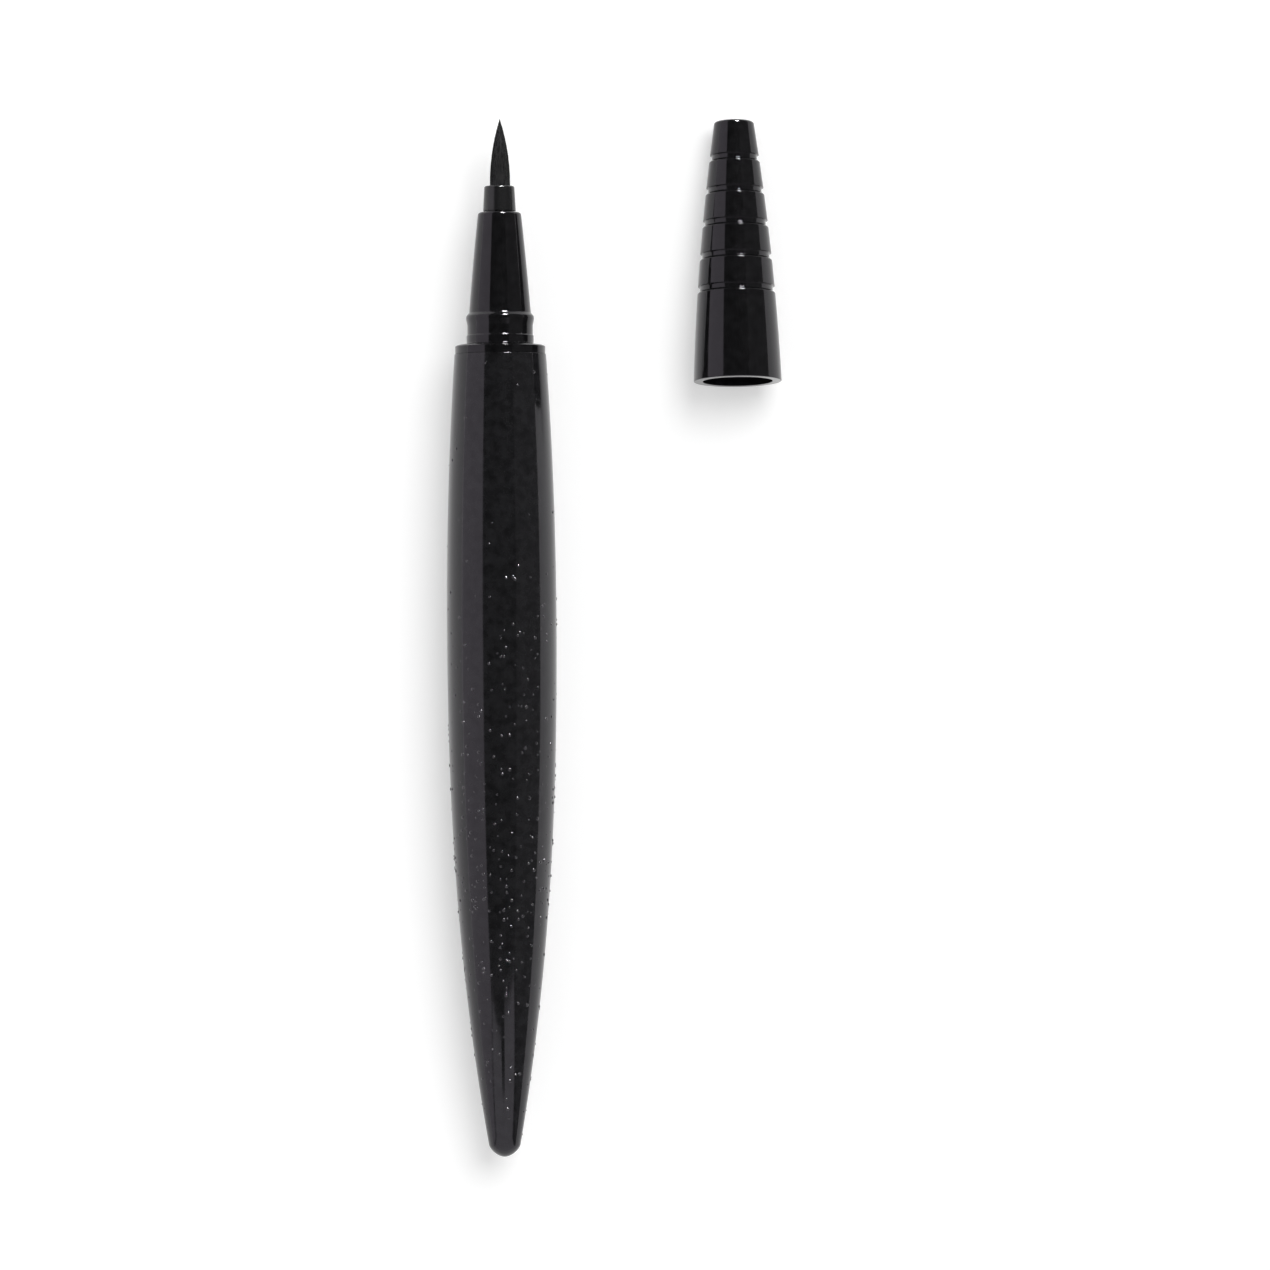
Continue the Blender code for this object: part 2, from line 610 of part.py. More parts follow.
def cap_mouth_height():
    """Height of the mouth's centre above the table, with the leaning cap's flank on it."""
    lows = []
    for place, radius in cap_outer_points():
        lows.append(place * math.sin(CAP_LEAN) + radius * math.cos(CAP_LEAN))
    return max(lows)


def make_pen(stand):
    """Every piece turned round the pen's axis, and the ball that lies in its tank."""
    pen_axis = make_empty("pen_axis", stand)
    pen_axis.location = (0, 0, BARREL_BELLY_RADIUS)
    pen_axis.rotation_euler = (-math.pi / 2, 0, 0)
    make_piece("barrel", turned(barrel_outline(), SHELL_SIDES), GLOSS_BLACK, pen_axis)
    make_piece("front_section", turned(section_outline(), SHELL_SIDES), GLOSS_BLACK, pen_axis)
    make_piece("nose_collar", turned(collar_outline(), INNER_SIDES), SATIN_BLACK, pen_axis)
    make_brush(pen_axis)
    make_piece("brush_retainer", turned(retainer_outline(), INNER_SIDES), NATURAL_PLASTIC, pen_axis)
    make_piece("feed_wick", turned(wick_outline(), INNER_SIDES), WHITE_FIBRE, pen_axis)
    make_piece("ink_collector", turned(collector_outline(), INNER_SIDES), NATURAL_PLASTIC, pen_axis)
    make_piece("tank_front_plug", turned(front_plug_outline(), INNER_SIDES), NATURAL_PLASTIC, pen_axis)
    make_piece("tank_seal_ring", turned(seal_outline(), INNER_SIDES), GREY_RUBBER, pen_axis)
    tank = tube(tank_rear(), TANK_FRONT, TANK_RADIUS, TANK_BORE_RADIUS)
    make_piece("ink_tank", turned(tank, INNER_SIDES), NATURAL_PLASTIC, pen_axis)
    make_piece("tank_end_plug", turned(end_plug_outline(), INNER_SIDES), NATURAL_PLASTIC, pen_axis)
    make_piece("rear_cushion", turned(cushion_outline(), INNER_SIDES), GREY_RUBBER, pen_axis)
    make_ball(pen_axis)


def make_ball(pen_axis):
    """Steel ball at the bottom of the tank, free to roll along it."""
    shape = bmesh.new()
    bmesh.ops.create_uvsphere(shape, u_segments=BALL_SIDES, v_segments=BALL_SIDES // 2,
                              radius=BALL_RADIUS)
    ball = make_piece("mixing_ball", shape, BRIGHT_STEEL, pen_axis)
    drop = TANK_BORE_RADIUS - BALL_RADIUS - FIT_GAP
    place = tank_rear() + END_PLUG_DEPTH + BALL_RADIUS + BALL_FROM_PLUG
    ball.location = (0, drop, place)


def make_cap(stand):
    """Cap shell and its liner, leaning on the shell's flank beside the pen."""
    cap_axis = make_empty("cap_axis", stand)
    cap_axis.location = (CAP_SPACING, SHOULDER - CAP_SETBACK, cap_mouth_height())
    cap_axis.rotation_euler = (-math.pi / 2 - CAP_LEAN, 0, CAP_TURN)
    make_piece("cap_shell", turned(cap_shell_outline(), SHELL_SIDES), GLOSS_BLACK, cap_axis)
    make_piece("inner_cap", turned(inner_cap_outline(), SHELL_SIDES), SATIN_BLACK, cap_axis)


def centre_on_table(stand):
    """Move the stand so that the middle of the whole part's base is the origin."""
    bpy.context.view_layer.update()
    corners = []
    for item in bpy.data.objects:
        if item.type == "MESH" and not item.hide_render:
            corners += [item.matrix_world @ vertex.co for vertex in item.data.vertices]
    lows = [min(corner[axis] for corner in corners) for axis in range(3)]
    highs = [max(corner[axis] for corner in corners) for axis in range(3)]
    stand.location = (-(lows[0] + highs[0]) / 2, -(lows[1] + highs[1]) / 2, -lows[2])


def main():
    clear_scene()
    stand = make_empty("stand")
    make_pen(stand)
    make_cap(stand)
    centre_on_table(stand)


main()
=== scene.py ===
"""Brush-tip eyeliner pen lying level beside its cap: fine meshes, finishes and a pale studio.

Lengths are in metres. Heights along the pen count from the tail end towards the brush, and heights
along the cap count from its mouth towards its top.
"""

import json
import math
import random

import bmesh
import bpy
from bpy.props import FloatProperty, FloatVectorProperty, IntProperty, PointerProperty
from mathutils import Matrix, Vector


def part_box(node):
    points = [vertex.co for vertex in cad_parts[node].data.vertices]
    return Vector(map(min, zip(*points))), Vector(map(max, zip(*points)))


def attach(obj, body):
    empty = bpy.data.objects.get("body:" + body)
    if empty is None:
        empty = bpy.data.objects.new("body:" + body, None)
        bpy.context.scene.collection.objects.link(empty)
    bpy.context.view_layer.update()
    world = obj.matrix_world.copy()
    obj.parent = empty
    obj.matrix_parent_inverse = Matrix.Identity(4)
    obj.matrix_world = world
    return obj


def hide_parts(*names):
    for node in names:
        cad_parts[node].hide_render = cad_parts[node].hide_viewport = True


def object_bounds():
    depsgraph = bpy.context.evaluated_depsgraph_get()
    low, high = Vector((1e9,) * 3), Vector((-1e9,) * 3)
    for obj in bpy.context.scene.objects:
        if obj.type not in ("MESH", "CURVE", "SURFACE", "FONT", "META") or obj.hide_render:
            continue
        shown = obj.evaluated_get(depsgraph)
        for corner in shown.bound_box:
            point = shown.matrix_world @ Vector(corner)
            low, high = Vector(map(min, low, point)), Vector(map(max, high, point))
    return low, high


bl_info = {
    "name": "Eyeliner Pen",
    "version": (1, 0, 0),
    "blender": (4, 5, 0),
    "location": "3D View > Sidebar > Eyeliner",
    "description": "Fine meshes, finishes and a studio for a brush-tip eyeliner pen and its cap",
    "category": "Object",
}

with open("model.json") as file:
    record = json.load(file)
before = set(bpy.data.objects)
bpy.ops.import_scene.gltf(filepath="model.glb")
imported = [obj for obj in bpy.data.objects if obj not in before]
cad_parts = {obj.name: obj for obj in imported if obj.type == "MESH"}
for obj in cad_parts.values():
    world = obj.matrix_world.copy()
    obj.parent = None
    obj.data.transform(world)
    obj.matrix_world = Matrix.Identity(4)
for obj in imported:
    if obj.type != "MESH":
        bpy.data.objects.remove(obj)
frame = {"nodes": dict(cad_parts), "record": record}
CAD_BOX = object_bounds()

# Places read from the frame
BARREL_LOW, BARREL_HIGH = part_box("barrel")
SECTION_LOW, SECTION_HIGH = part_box("front_section")
COLLAR_LOW, COLLAR_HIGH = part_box("nose_collar")
BRUSH_LOW, BRUSH_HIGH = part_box("brush_tip")
MOUNTS = {mount["name"]: mount for mount in frame["record"]["mounts"]}
PEN_ASIDE = (BARREL_LOW.x + BARREL_HIGH.x) / 2
PEN_LEVEL = (BARREL_LOW.z + BARREL_HIGH.z) / 2
PEN_REAR = Vector((PEN_ASIDE, BARREL_LOW.y, PEN_LEVEL))
PEN_DIRECTION = Vector((0, 1, 0))
CAP_TOP = Vector(MOUNTS["cap_top"]["pos_m"])
CAP_DIRECTION = Vector(MOUNTS["cap_top"]["axis"]).normalized()
BELLY_RADIUS = (BARREL_HIGH.z - BARREL_LOW.z) / 2
SEAM = BARREL_HIGH.y - PEN_REAR.y
SKIRT_REAR = SECTION_LOW.y - PEN_REAR.y
SHOULDER = MOUNTS["cap_seat"]["pos_m"][1] - PEN_REAR.y
CONE_FRONT = SECTION_HIGH.y - PEN_REAR.y
STEM_REAR = COLLAR_LOW.y - PEN_REAR.y
COLLAR_FRONT = COLLAR_HIGH.y - PEN_REAR.y
BRUSH_REAR = BRUSH_LOW.y - PEN_REAR.y

# Mesh fineness
SHELL_SIDES = 144
COLLAR_SIDES = 96
CORNER_STEPS = 7
LARGEST_ARC = 0.49
CORNER_MARGIN = 0.00008
LONGEST_STEP = 0.0012
TAIL_STEPS = 22
FLANK_STEPS = 100
BORE_STEPS = 8
CONE_STEPS = 8
CORE_STEPS = 30
BORE_CORNERS = 12
SLEEVE_CORNERS = 8
SHARP_TURN = math.radians(40)
ON_AXIS = 1e-9
BEAD_SIDES = 12
BEAD_RINGS = 4
STRAND_SIDES = 5
CORE_SIDES = 48
FLOOR_SIDES = 96

# A noise's values between which a finish wanders
NOISE_LOW, NOISE_HIGH = 0.3, 0.7

# Sizes and shares that are seldom changed
BEAD_SEED = 7
BEADED_SHARE = 0.99
BEAD_SINK = 0.00003
BEAD_RARITY = 1.5
LEAST_BEAD_CHANCE = 0.08
BARE_TAIL_SHARE = 0.05
CHAMFER_FALL = 0.6
CONE_SWELL_START = 0.0011
RIDGE_CREST, RIDGE_BROW, BROW_HEIGHT = 0.55, 0.76, 0.7
FOOT_SLOPE = 0.00014
STEM_GAP = 0.0002
BRUSH_LEVELS = (1.0, 0.85, 0.7, 0.55, 0.42, 0.3, 0.2, 0.13, 0.08, 0.04, 0.015)
LEAST_STRAND = 0.45
STRAND_POINT = 5
LEAST_CLOSENESS = 0.2
CORE_INSET = 1.6
CORE_START = 0.02
GOLDEN_TURN = math.pi * (3 - math.sqrt(5))

# Each groove's corners: place and depth as shares of its width and depth, and rounding
GROOVE_CORNERS = ((-0.62, 0, 0.0001), (-0.28, 1, 0.00005), (0.34, 1, 0.0001), (0.42, 0, 0.00003))


def length(name, description, default):
    """Length property in metres."""
    return FloatProperty(name=name, description=description, default=default, min=0.0,
                         subtype="DISTANCE", unit="LENGTH", precision=5)


def factor(name, description, default):
    """Property between nothing and one."""
    return FloatProperty(name=name, description=description, default=default, min=0.0, max=1.0,
                         subtype="FACTOR")


def ratio(name, description, default):
    """Plain number property, at least one."""
    return FloatProperty(name=name, description=description, default=default, min=1.0)


def whole(name, description, default):
    """Whole number property."""
    return IntProperty(name=name, description=description, default=default, min=1)


def colour(name, description, default):
    """Linear colour property."""
    return FloatVectorProperty(name=name, description=description, default=default, size=3,
                               min=0.0, max=1.0, subtype="COLOR")


def level(name, description, default):
    """Brightness property of a lamp, where a white sheet in plain light has one."""
    return FloatProperty(name=name, description=description, default=default, min=0.0)


def direction(name, description, default):
    """Direction property, as a vector of any length."""
    return FloatVectorProperty(name=name, description=description, default=default, size=3,
                               subtype="DIRECTION")


class EyelinerBarrel(bpy.types.PropertyGroup):
    """Sizes of the barrel and of the beads on it"""

    belly_radius: length("Belly radius", "Radius at the widest place", BELLY_RADIUS)
    front_radius: length("Front radius", "Radius at the seam", 0.00588)
    tail_radius: length("Tail radius", "Radius where the tail starts to round off", 0.00208)
    belly_share: factor("Belly place", "Height of the belly as a share of the length", 0.669)
    tail_length: length("Tail rounding", "Length of the rounded tail end", 0.0016)
    tail_height: length("Tail height", "Height at which the tail has its own radius", 0.00186)
    rear_power: ratio("Rear power", "Power of the outline between belly and tail", 2.35)
    tail_power: ratio("Tail power", "Power of the rounded tail end's outline", 1.8)
    solid_length: length("Solid tail", "Length of the tail behind the bore", 0.016)
    wall: length("Wall", "Thickness of the shell", 0.00099)
    front_edge: length("Front edge", "Rounding of the front edge", 0.00006)
    bead_count: whole("Beads", "Raised beads tried on the barrel", 1700)
    bead_radius: length("Bead radius", "Radius of the largest bead's foot", 0.00024)
    bead_height: length("Bead height", "Height of the largest bead", 0.00014)
    bead_least: factor("Least bead", "Size of the smallest bead as a share of the largest", 0.5)
    bead_place: factor("Bead place", "Height at which most beads lie, as a share of the length", 0.4)
    bead_spread: factor("Bead spread", "How far the beads spread from there, as a share", 0.26)


class EyelinerNose(bpy.types.PropertyGroup):
    """Sizes of the front section, its collar and the brush"""

    flange_radius: length("Flange radius", "Radius of the flange in front of the barrel", 0.00579)
    flange_edge: length("Flange edge", "Width of the chamfer on the flange's front edge", 0.00025)
    flange_fall: length("Flange fall", "Fall of the flange's front face towards its edge", 0.00025)
    flange_thickness: length("Flange thickness", "Length of the flange", 0.00138)
    skirt_radius: length("Skirt radius", "Radius of the skirt inside the barrel", 0.00469)
    bore_radius: length("Bore radius", "Radius of the bore through the section", 0.00344)
    foot_length: length("Foot ring length", "Length of the ring at the neck's foot", 0.00095)
    foot_lip: length("Foot ring lip", "How far the foot ring stands out from the neck", 0.0001)
    neck_radius: length("Neck radius", "Radius of the neck", 0.00421)
    neck_length: length("Neck length", "Length between foot ring and snap ridge", 0.0013)
    ridge_height: length("Ridge height", "How far the snap ridge stands out from the neck", 0.00017)
    ridge_length: length("Ridge length", "Length of the snap ridge", 0.00165)
    cone_step: length("Cone step", "How far the cone's rear lies inside the neck's radius", 0.0002)
    cone_front_radius: length("Cone front radius", "Radius of the cone's front end", 0.00276)
    cone_bulge: factor("Cone swell", "How far the cone's side swells, as a share of its taper", 0.16)
    cone_edge: length("Cone edge", "Rounding of the cone's front edge", 0.00038)
    nose_bore_radius: length("Nose bore radius", "Radius of the bore that holds the collar", 0.0021)
    nose_land: length("Nose land", "Length of that bore", 0.004)
    collar_length: length("Collar length", "Length of the collar in front of the cone", 0.00322)
    collar_front_radius: length("Collar front radius", "Radius of the collar's front end", 0.00193)
    collar_flare: length("Collar flare", "How much wider the collar's rear end is", 0.00018)
    collar_edge: length("Collar edge", "Rounding of the collar's front edge", 0.00042)
    collar_bore_radius: length("Collar bore radius", "Radius of the bore round the brush", 0.00148)
    brush_radius: length("Brush radius", "Radius of the bristle bundle at its root", 0.0013)
    brush_length: length("Brush length", "Length of the bristles in front of the collar", 0.00866)
    brush_aside: length("Brush aside", "How far the bundle sits from the pen's axis", 0.0001)
    brush_backing: length("Brush backing", "Thickness of the slice behind the bristles", 0.0008)
    brush_power: ratio("Brush taper", "Power of the brush's outline towards its tip", 2.15)
    strand_count: whole("Bristles", "Bristles in the bundle", 900)
    strand_radius: length("Bristle radius", "Radius of one bristle", 0.00004)


class EyelinerCap(bpy.types.PropertyGroup):
    """Sizes of the cap and its liner"""

    length: length("Length", "From the mouth to the top", 0.03362)
    mouth_radius: length("Mouth radius", "Outer radius at the mouth", 0.00566)
    top_radius: length("Top radius", "Outer radius at the top", 0.00255)
    straight_share: factor("Straightness", "Share of the taper that is straight", 0.42)
    wall: length("Wall", "Least thickness of the shell", 0.0009)
    bore_radius: length("Bore radius", "Radius of the bore at the mouth", 0.00447)
    top_wall: length("Top wall", "Thickness of the closed top", 0.00218)
    top_edge: length("Top edge", "Rounding of the top's edge", 0.00036)
    mouth_edge: length("Mouth edge", "Rounding of the mouth's outer edge", 0.00012)
    sleeve_length: length("Sleeve length", "From the mouth to the first groove", 0.01187)
    top_ring_length: length("Top ring length", "From the last groove to the top", 0.00473)
    rings: whole("Rings", "Rings above the sleeve", 5)
    groove_depth: length("Groove depth", "Depth of each groove", 0.0003)
    groove_width: length("Groove width", "Width of each groove", 0.0009)
    snap_bite: length("Snap bead", "How far the snap bead stands into the bore", 0.00022)
    snap_place: length("Snap place", "Height of the snap bead above the mouth", 0.00165)
    snap_width: length("Snap width", "Width of the snap bead", 0.0012)
    liner_gap: length("Liner gap", "Gap between the liner and the shell", 0.0002)
    liner_wall: length("Liner wall", "Thickness of the liner", 0.0005)
    liner_mouth: length("Liner mouth", "Height of the liner's open end", 0.01135)
    liner_lip_place: length("Liner lip place", "Height of the lip that seals on the collar", 0.0178)
    liner_lip_width: length("Liner lip width", "Width of that lip", 0.0009)
    liner_lip_radius: length("Liner lip radius", "Radius inside that lip", 0.00217)


class EyelinerFinish(bpy.types.PropertyGroup):
    """Colours and gloss of the surfaces"""

    gloss_colour: colour("Gloss black", "Colour of the moulded gloss black", (0.006, 0.006, 0.0065))
    gloss_roughness: factor("Gloss roughness", "Roughness of the moulded gloss black", 0.09)
    gloss_index: ratio("Gloss index", "Refractive index of the moulded gloss black", 1.45)
    bead_index: ratio("Bead index", "Refractive index of the beads", 1.72)
    haze_level: ratio("Haze level", "How much lighter the barrel's hazed surface is", 1.8)
    satin_colour: colour("Satin black", "Colour of the satin black", (0.008, 0.008, 0.0085))
    satin_roughness: factor("Satin roughness", "Roughness of the satin black", 0.22)
    bristle_colour: colour("Bristle black", "Colour of the inked bristles", (0.02, 0.02, 0.0205))
    bristle_roughness: factor("Bristle roughness", "Roughness of the inked bristles", 0.3)
    plastic_colour: colour("Natural plastic", "Colour of the unpigmented plastic", (0.72, 0.72, 0.7))
    fibre_colour: colour("Wick fibre", "Colour of the wick", (0.75, 0.74, 0.7))
    rubber_colour: colour("Seal rubber", "Colour of the seals", (0.1, 0.1, 0.1))
    steel_colour: colour("Steel", "Colour of the mixing ball", (0.6, 0.6, 0.62))


class EyelinerStage(bpy.types.PropertyGroup):
    """Floor, lamps and camera"""

    floor_colour: colour("Floor", "Colour of the floor", (0.7, 0.7, 0.7))
    floor_radius: length("Floor radius", "Radius of the floor", 6.0)
    floor_lift: factor("Floor lift", "Light that the floor adds where it is looked at", 0.43)
    lamp_distance: length("Lamp distance", "From the object to the soft and spark lamps", 3.0)
    soft_direction: direction("Soft direction", "From the object to the soft lamp", (0.33, 0.48, 1.0))
    soft_radius: length("Soft lamp radius", "Radius of the soft lamp, which lights matt surfaces", 0.97)
    soft_level: level("Soft lamp level", "Brightness of the soft lamp", 5.8)
    spark_direction: direction("Spark direction", "From the object to the spark lamp",
                               (0.241, 0.8, 0.55))
    spark_width: length("Spark width", "Width of the lamp that gloss shows as sparks", 0.8)
    spark_height: length("Spark height", "Height of that lamp", 0.42)
    spark_level: level("Spark level", "Brightness of the spark lamp", 450.0)
    panel_distance: length("Panel distance", "From the object to each side panel", 0.6)
    panel_front: length("Panel front", "How far the side panels reach past the object's middle", 1.5)
    panel_rear: length("Panel rear", "How far they reach back past it", 0.32)
    left_height: length("Left panel height", "Height of the bright side panel", 0.74)
    left_level: level("Left panel level", "Brightness of the bright side panel", 0.95)
    right_height: length("Right panel height", "Height of the dim side panel", 1.0)
    right_level: level("Right panel level", "Brightness of the dim side panel", 0.11)
    rear_distance: length("Rear distance", "From the object to the panels behind the tail", 0.6)
    rear_left: length("Rear left", "How far those panels reach to the left", 1.135)
    rear_right: length("Rear right", "How far those panels reach to the right", 1.06)
    rear_height: length("Rear height", "Height up to which those panels are one", 1.35)
    rear_left_height: length("Rear left height", "Height of their left part", 1.6)
    rear_right_height: length("Rear right height", "Height of their right part", 1.8)
    rear_gap_left: length("Rear gap, left", "Where the gap between those parts starts", 0.255)
    rear_gap_right: length("Rear gap, right", "Where that gap ends", 0.06)
    rear_level: level("Rear level", "Brightness of the panels behind the tail", 1.0)
    air_level: factor("Air level", "Light from all round on matt surfaces", 0.45)
    studio_level: factor("Studio level", "Brightness of the dark studio that gloss shows", 0.03)
    camera_height: length("Camera height", "Height of the camera above the pen's axis", 0.703)
    camera_aside: length("Camera aside", "From the pen to the camera, towards the cap", 0.01704)
    camera_forward: length("Camera forward", "From the tail end to the camera, along the pen", 0.06668)
    camera_lens: FloatProperty(name="Lens", description="Focal length of the camera", default=155.7,
                               min=1.0, subtype="DISTANCE_CAMERA", unit="CAMERA")
    camera_roll: FloatProperty(name="Roll", description="Turn of the camera about its view",
                               default=math.radians(-0.33), subtype="ANGLE", unit="ROTATION")


def settings():
    """Every group of sizes and colours of the open scene."""
    return bpy.context.scene.eyeliner


class EyelinerSettings(bpy.types.PropertyGroup):
    """Sizes, colours and studio of the eyeliner pen"""

    barrel: PointerProperty(name="Barrel", description="Sizes of the barrel", type=EyelinerBarrel)
    nose: PointerProperty(name="Nose", description="Sizes of the nose and brush", type=EyelinerNose)
    cap: PointerProperty(name="Cap", description="Sizes of the cap", type=EyelinerCap)
    finish: PointerProperty(name="Finish", description="Colours and gloss", type=EyelinerFinish)
    stage: PointerProperty(name="Stage", description="Floor, lamps and camera", type=EyelinerStage)


def spread(start, end, count):
    """Evenly spaced values from start to end, both included."""
    return [start + (end - start) * step / (count - 1) for step in range(count)]


def rounded(corners):
    """Outline of (height, radius, rounding) corners, each with a rounding turned into an arc."""
    outline = []
    for number, (height, radius, rounding) in enumerate(corners):
        corner = Vector((height, radius))
        if rounding == 0:
            outline.append(corner)
            continue
        back = Vector(corners[number - 1][:2]) - corner
        ahead = Vector(corners[(number + 1) % len(corners)][:2]) - corner
        turn = math.pi - back.angle(ahead)
        room = LARGEST_ARC * min(back.length, ahead.length)
        reach = min(rounding * math.tan(turn / 2), room)
        back.normalize()
        ahead.normalize()
        centre = corner + (back + ahead).normalized() * (reach / math.sin(turn / 2))
        first = corner + back * reach - centre
        last = corner + ahead * reach - centre
        for share in spread(0, 1, CORNER_STEPS):
            swing = first * math.sin((1 - share) * turn) + last * math.sin(share * turn)
            outline.append(centre + swing / math.sin(turn))
    return outline


def supported(outline):
    """The outline with extra points beside its corners and along its long runs."""
    points = []
    for near, far in zip(outline, outline[1:]):
        points.append(near)
        run = (far - near).length
        if run > 4 * CORNER_MARGIN:
            steps = max(2, math.ceil(run / LONGEST_STEP))
            shares = [CORNER_MARGIN / run, *spread(0, 1, steps + 1)[1:-1], 1 - CORNER_MARGIN / run]
            points += [near.lerp(far, share) for share in shares]
    points.append(outline[-1])
    return points


def add_ring(shape, centre, across, upward, sides):
    """Vertices of one ring round a centre, spanned by two directions."""
    ring = []
    for turn in spread(0, math.tau, sides + 1)[:-1]:
        ring.append(shape.verts.new(centre + across * math.cos(turn) + upward * math.sin(turn)))
    return ring


def turned_ring(shape, height, radius, sides):
    """Vertices of one ring round local Z, or a single one on the axis."""
    middle = Vector((0, 0, height))
    if radius < ON_AXIS:
        return [shape.verts.new(middle)]
    return add_ring(shape, middle, Vector((radius, 0, 0)), Vector((0, radius, 0)), sides)


def add_turned(shape, outline, sides):
    """Body of an outline of (height, radius) points turned round local Z, in a mesh."""
    rings = [turned_ring(shape, height, radius, sides) for height, radius in outline]
    pairs = list(zip(rings, rings[1:]))
    if len(rings[0]) > 1:
        pairs.append((rings[-1], rings[0]))
    for near, far in pairs:
        for side in range(sides):
            after = side + 1
            corners = [near[side % len(near)], near[after % len(near)]]
            corners += [far[after % len(far)], far[side % len(far)]]
            shape.faces.new(list(dict.fromkeys(corners)))


def turned(outline, sides):
    """Mesh of one turned body."""
    shape = bmesh.new()
    add_turned(shape, outline, sides)
    return shape


def in_scene(name, data):
    """Object of a mesh, lamp or camera, linked into the scene."""
    item = bpy.data.objects.new(name, data)
    bpy.context.scene.collection.objects.link(item)
    return item


def mesh_object(name, shape, material):
    """Object of a finished bmesh in one material."""
    mesh = bpy.data.meshes.new(name)
    shape.to_mesh(mesh)
    shape.free()
    mesh.materials.append(material)
    return in_scene(name, mesh)


def add_piece(name, shape, material, place, body, node=None):
    """Piece of a finished bmesh, placed by a matrix, which rides on a body."""
    bmesh.ops.recalc_face_normals(shape, faces=shape.faces)
    shape.transform(place)
    piece = mesh_object(name, shape, material)
    piece.data.shade_smooth()
    piece.data.set_sharp_from_angle(angle=SHARP_TURN)
    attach(piece, body)
    if node:
        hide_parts(node)
    return piece


def along(start, direction):
    """Matrix that stands local Z along a direction from a start point."""
    return Matrix.Translation(start) @ direction.to_track_quat("Z", "Y").to_matrix().to_4x4()


def pen_place():
    """Matrix of the pen's axis, from its tail end towards its brush."""
    return along(PEN_REAR, PEN_DIRECTION)


def cap_place():
    """Matrix of the cap's axis, from its mouth towards its top."""
    return along(CAP_TOP - CAP_DIRECTION * settings().cap.length, CAP_DIRECTION)


def new_material(name, base, roughness, metallic=0.0):
    """Principled material whose plain values sit on the shader, with its nodes and its shader."""
    material = bpy.data.materials.new(name)
    material.use_nodes = True
    nodes = material.node_tree.nodes
    shader = nodes["Principled BSDF"]
    shader.inputs["Base Color"].default_value = (*base, 1)
    shader.inputs["Roughness"].default_value = roughness
    shader.inputs["Metallic"].default_value = metallic
    material.diffuse_color = (*base, 1)
    return material, nodes, shader


def join(nodes, source, target):
    """Link from one socket to another."""
    nodes.id_data.links.new(source, target)


def noise_field(nodes, scale, detail, stretch=(1, 1, 1)):
    """Noise over the object's own coordinates, stretched along its axes."""
    coordinates = nodes.new("ShaderNodeTexCoord")
    mapping = nodes.new("ShaderNodeMapping")
    mapping.inputs["Scale"].default_value = stretch
    noise = nodes.new("ShaderNodeTexNoise")
    noise.inputs["Scale"].default_value = scale
    noise.inputs["Detail"].default_value = detail
    join(nodes, coordinates.outputs["Object"], mapping.inputs["Vector"])
    join(nodes, mapping.outputs["Vector"], noise.inputs["Vector"])
    return noise.outputs["Fac"]


def mapped(nodes, source, low, high):
    """A noise spread from low to high."""
    node = nodes.new("ShaderNodeMapRange")
    ends = (("From Min", NOISE_LOW), ("From Max", NOISE_HIGH), ("To Min", low), ("To Max", high))
    for socket, value in ends:
        node.inputs[socket].default_value = value
    join(nodes, source, node.inputs["Value"])
    return node.outputs["Result"]


def add_bump(nodes, shader, field, strength, distance):
    """Bump of a field on the shader's normal."""
    bump = nodes.new("ShaderNodeBump")
    bump.inputs["Strength"].default_value = strength
    bump.inputs["Distance"].default_value = distance
    join(nodes, field, bump.inputs["Height"])
    join(nodes, bump.outputs["Normal"], shader.inputs["Normal"])


def two_tone(nodes, shader, field, dark, light):
    """Base colour that wanders between two colours with a field."""
    ramp = nodes.new("ShaderNodeValToRGB")
    first, last = ramp.color_ramp.elements
    first.position, last.position = NOISE_LOW, NOISE_HIGH
    first.color, last.color = (*dark, 1), (*light, 1)
    join(nodes, field, ramp.inputs["Fac"])
    join(nodes, ramp.outputs["Color"], shader.inputs["Base Color"])


def tinted(base, strength):
    """A colour made lighter or darker."""
    return tuple(min(1.0, part * strength) for part in base)


def gloss_black(name, index, spread_out=1.0, haze=1.0):
    """Moulded gloss black: soft mottling, a trace of flow in the surface, clean reflections."""
    finish = settings().finish
    roughness = finish.gloss_roughness * spread_out
    base = tinted(finish.gloss_colour, haze)
    material, nodes, shader = new_material(name, base, roughness)
    shader.inputs["IOR"].default_value = index
    shader.inputs["Specular Tint"].default_value = (0.97, 0.93, 1.0, 1)
    rough = mapped(nodes, noise_field(nodes, 260, 4), roughness * 0.8, roughness * 1.25)
    join(nodes, rough, shader.inputs["Roughness"])
    two_tone(nodes, shader, noise_field(nodes, 900, 5), tinted(base, 0.6), tinted(base, 1.4))
    add_bump(nodes, shader, noise_field(nodes, 900, 2, (1, 0.4, 1)), 0.3, 0.000004)
    return material


def textured(name, base, roughness, rough, tones, grain, bump, bump_grain=None, metallic=0.0):
    """Material whose roughness and shade wander with one grain, over a bump of it or of another.

    A grain is a noise's scale, detail and stretch, and a bump is its strength and distance.
    """
    material, nodes, shader = new_material(name, base, roughness, metallic)
    field = noise_field(nodes, *grain)
    join(nodes, mapped(nodes, field, *rough), shader.inputs["Roughness"])
    two_tone(nodes, shader, field, *(tinted(base, tone) for tone in tones))
    if bump_grain:
        field = noise_field(nodes, *bump_grain)
    add_bump(nodes, shader, field, *bump)
    return material, shader


def satin_black(name):
    """Satin black moulding with a fine even grain."""
    finish = settings().finish
    middle = finish.satin_roughness
    return textured(name, finish.satin_colour, middle, rough=(middle * 0.9, middle * 1.1),
                    tones=(0.8, 1.25), grain=(5000, 3), bump=(0.3, 0.000002))[0]


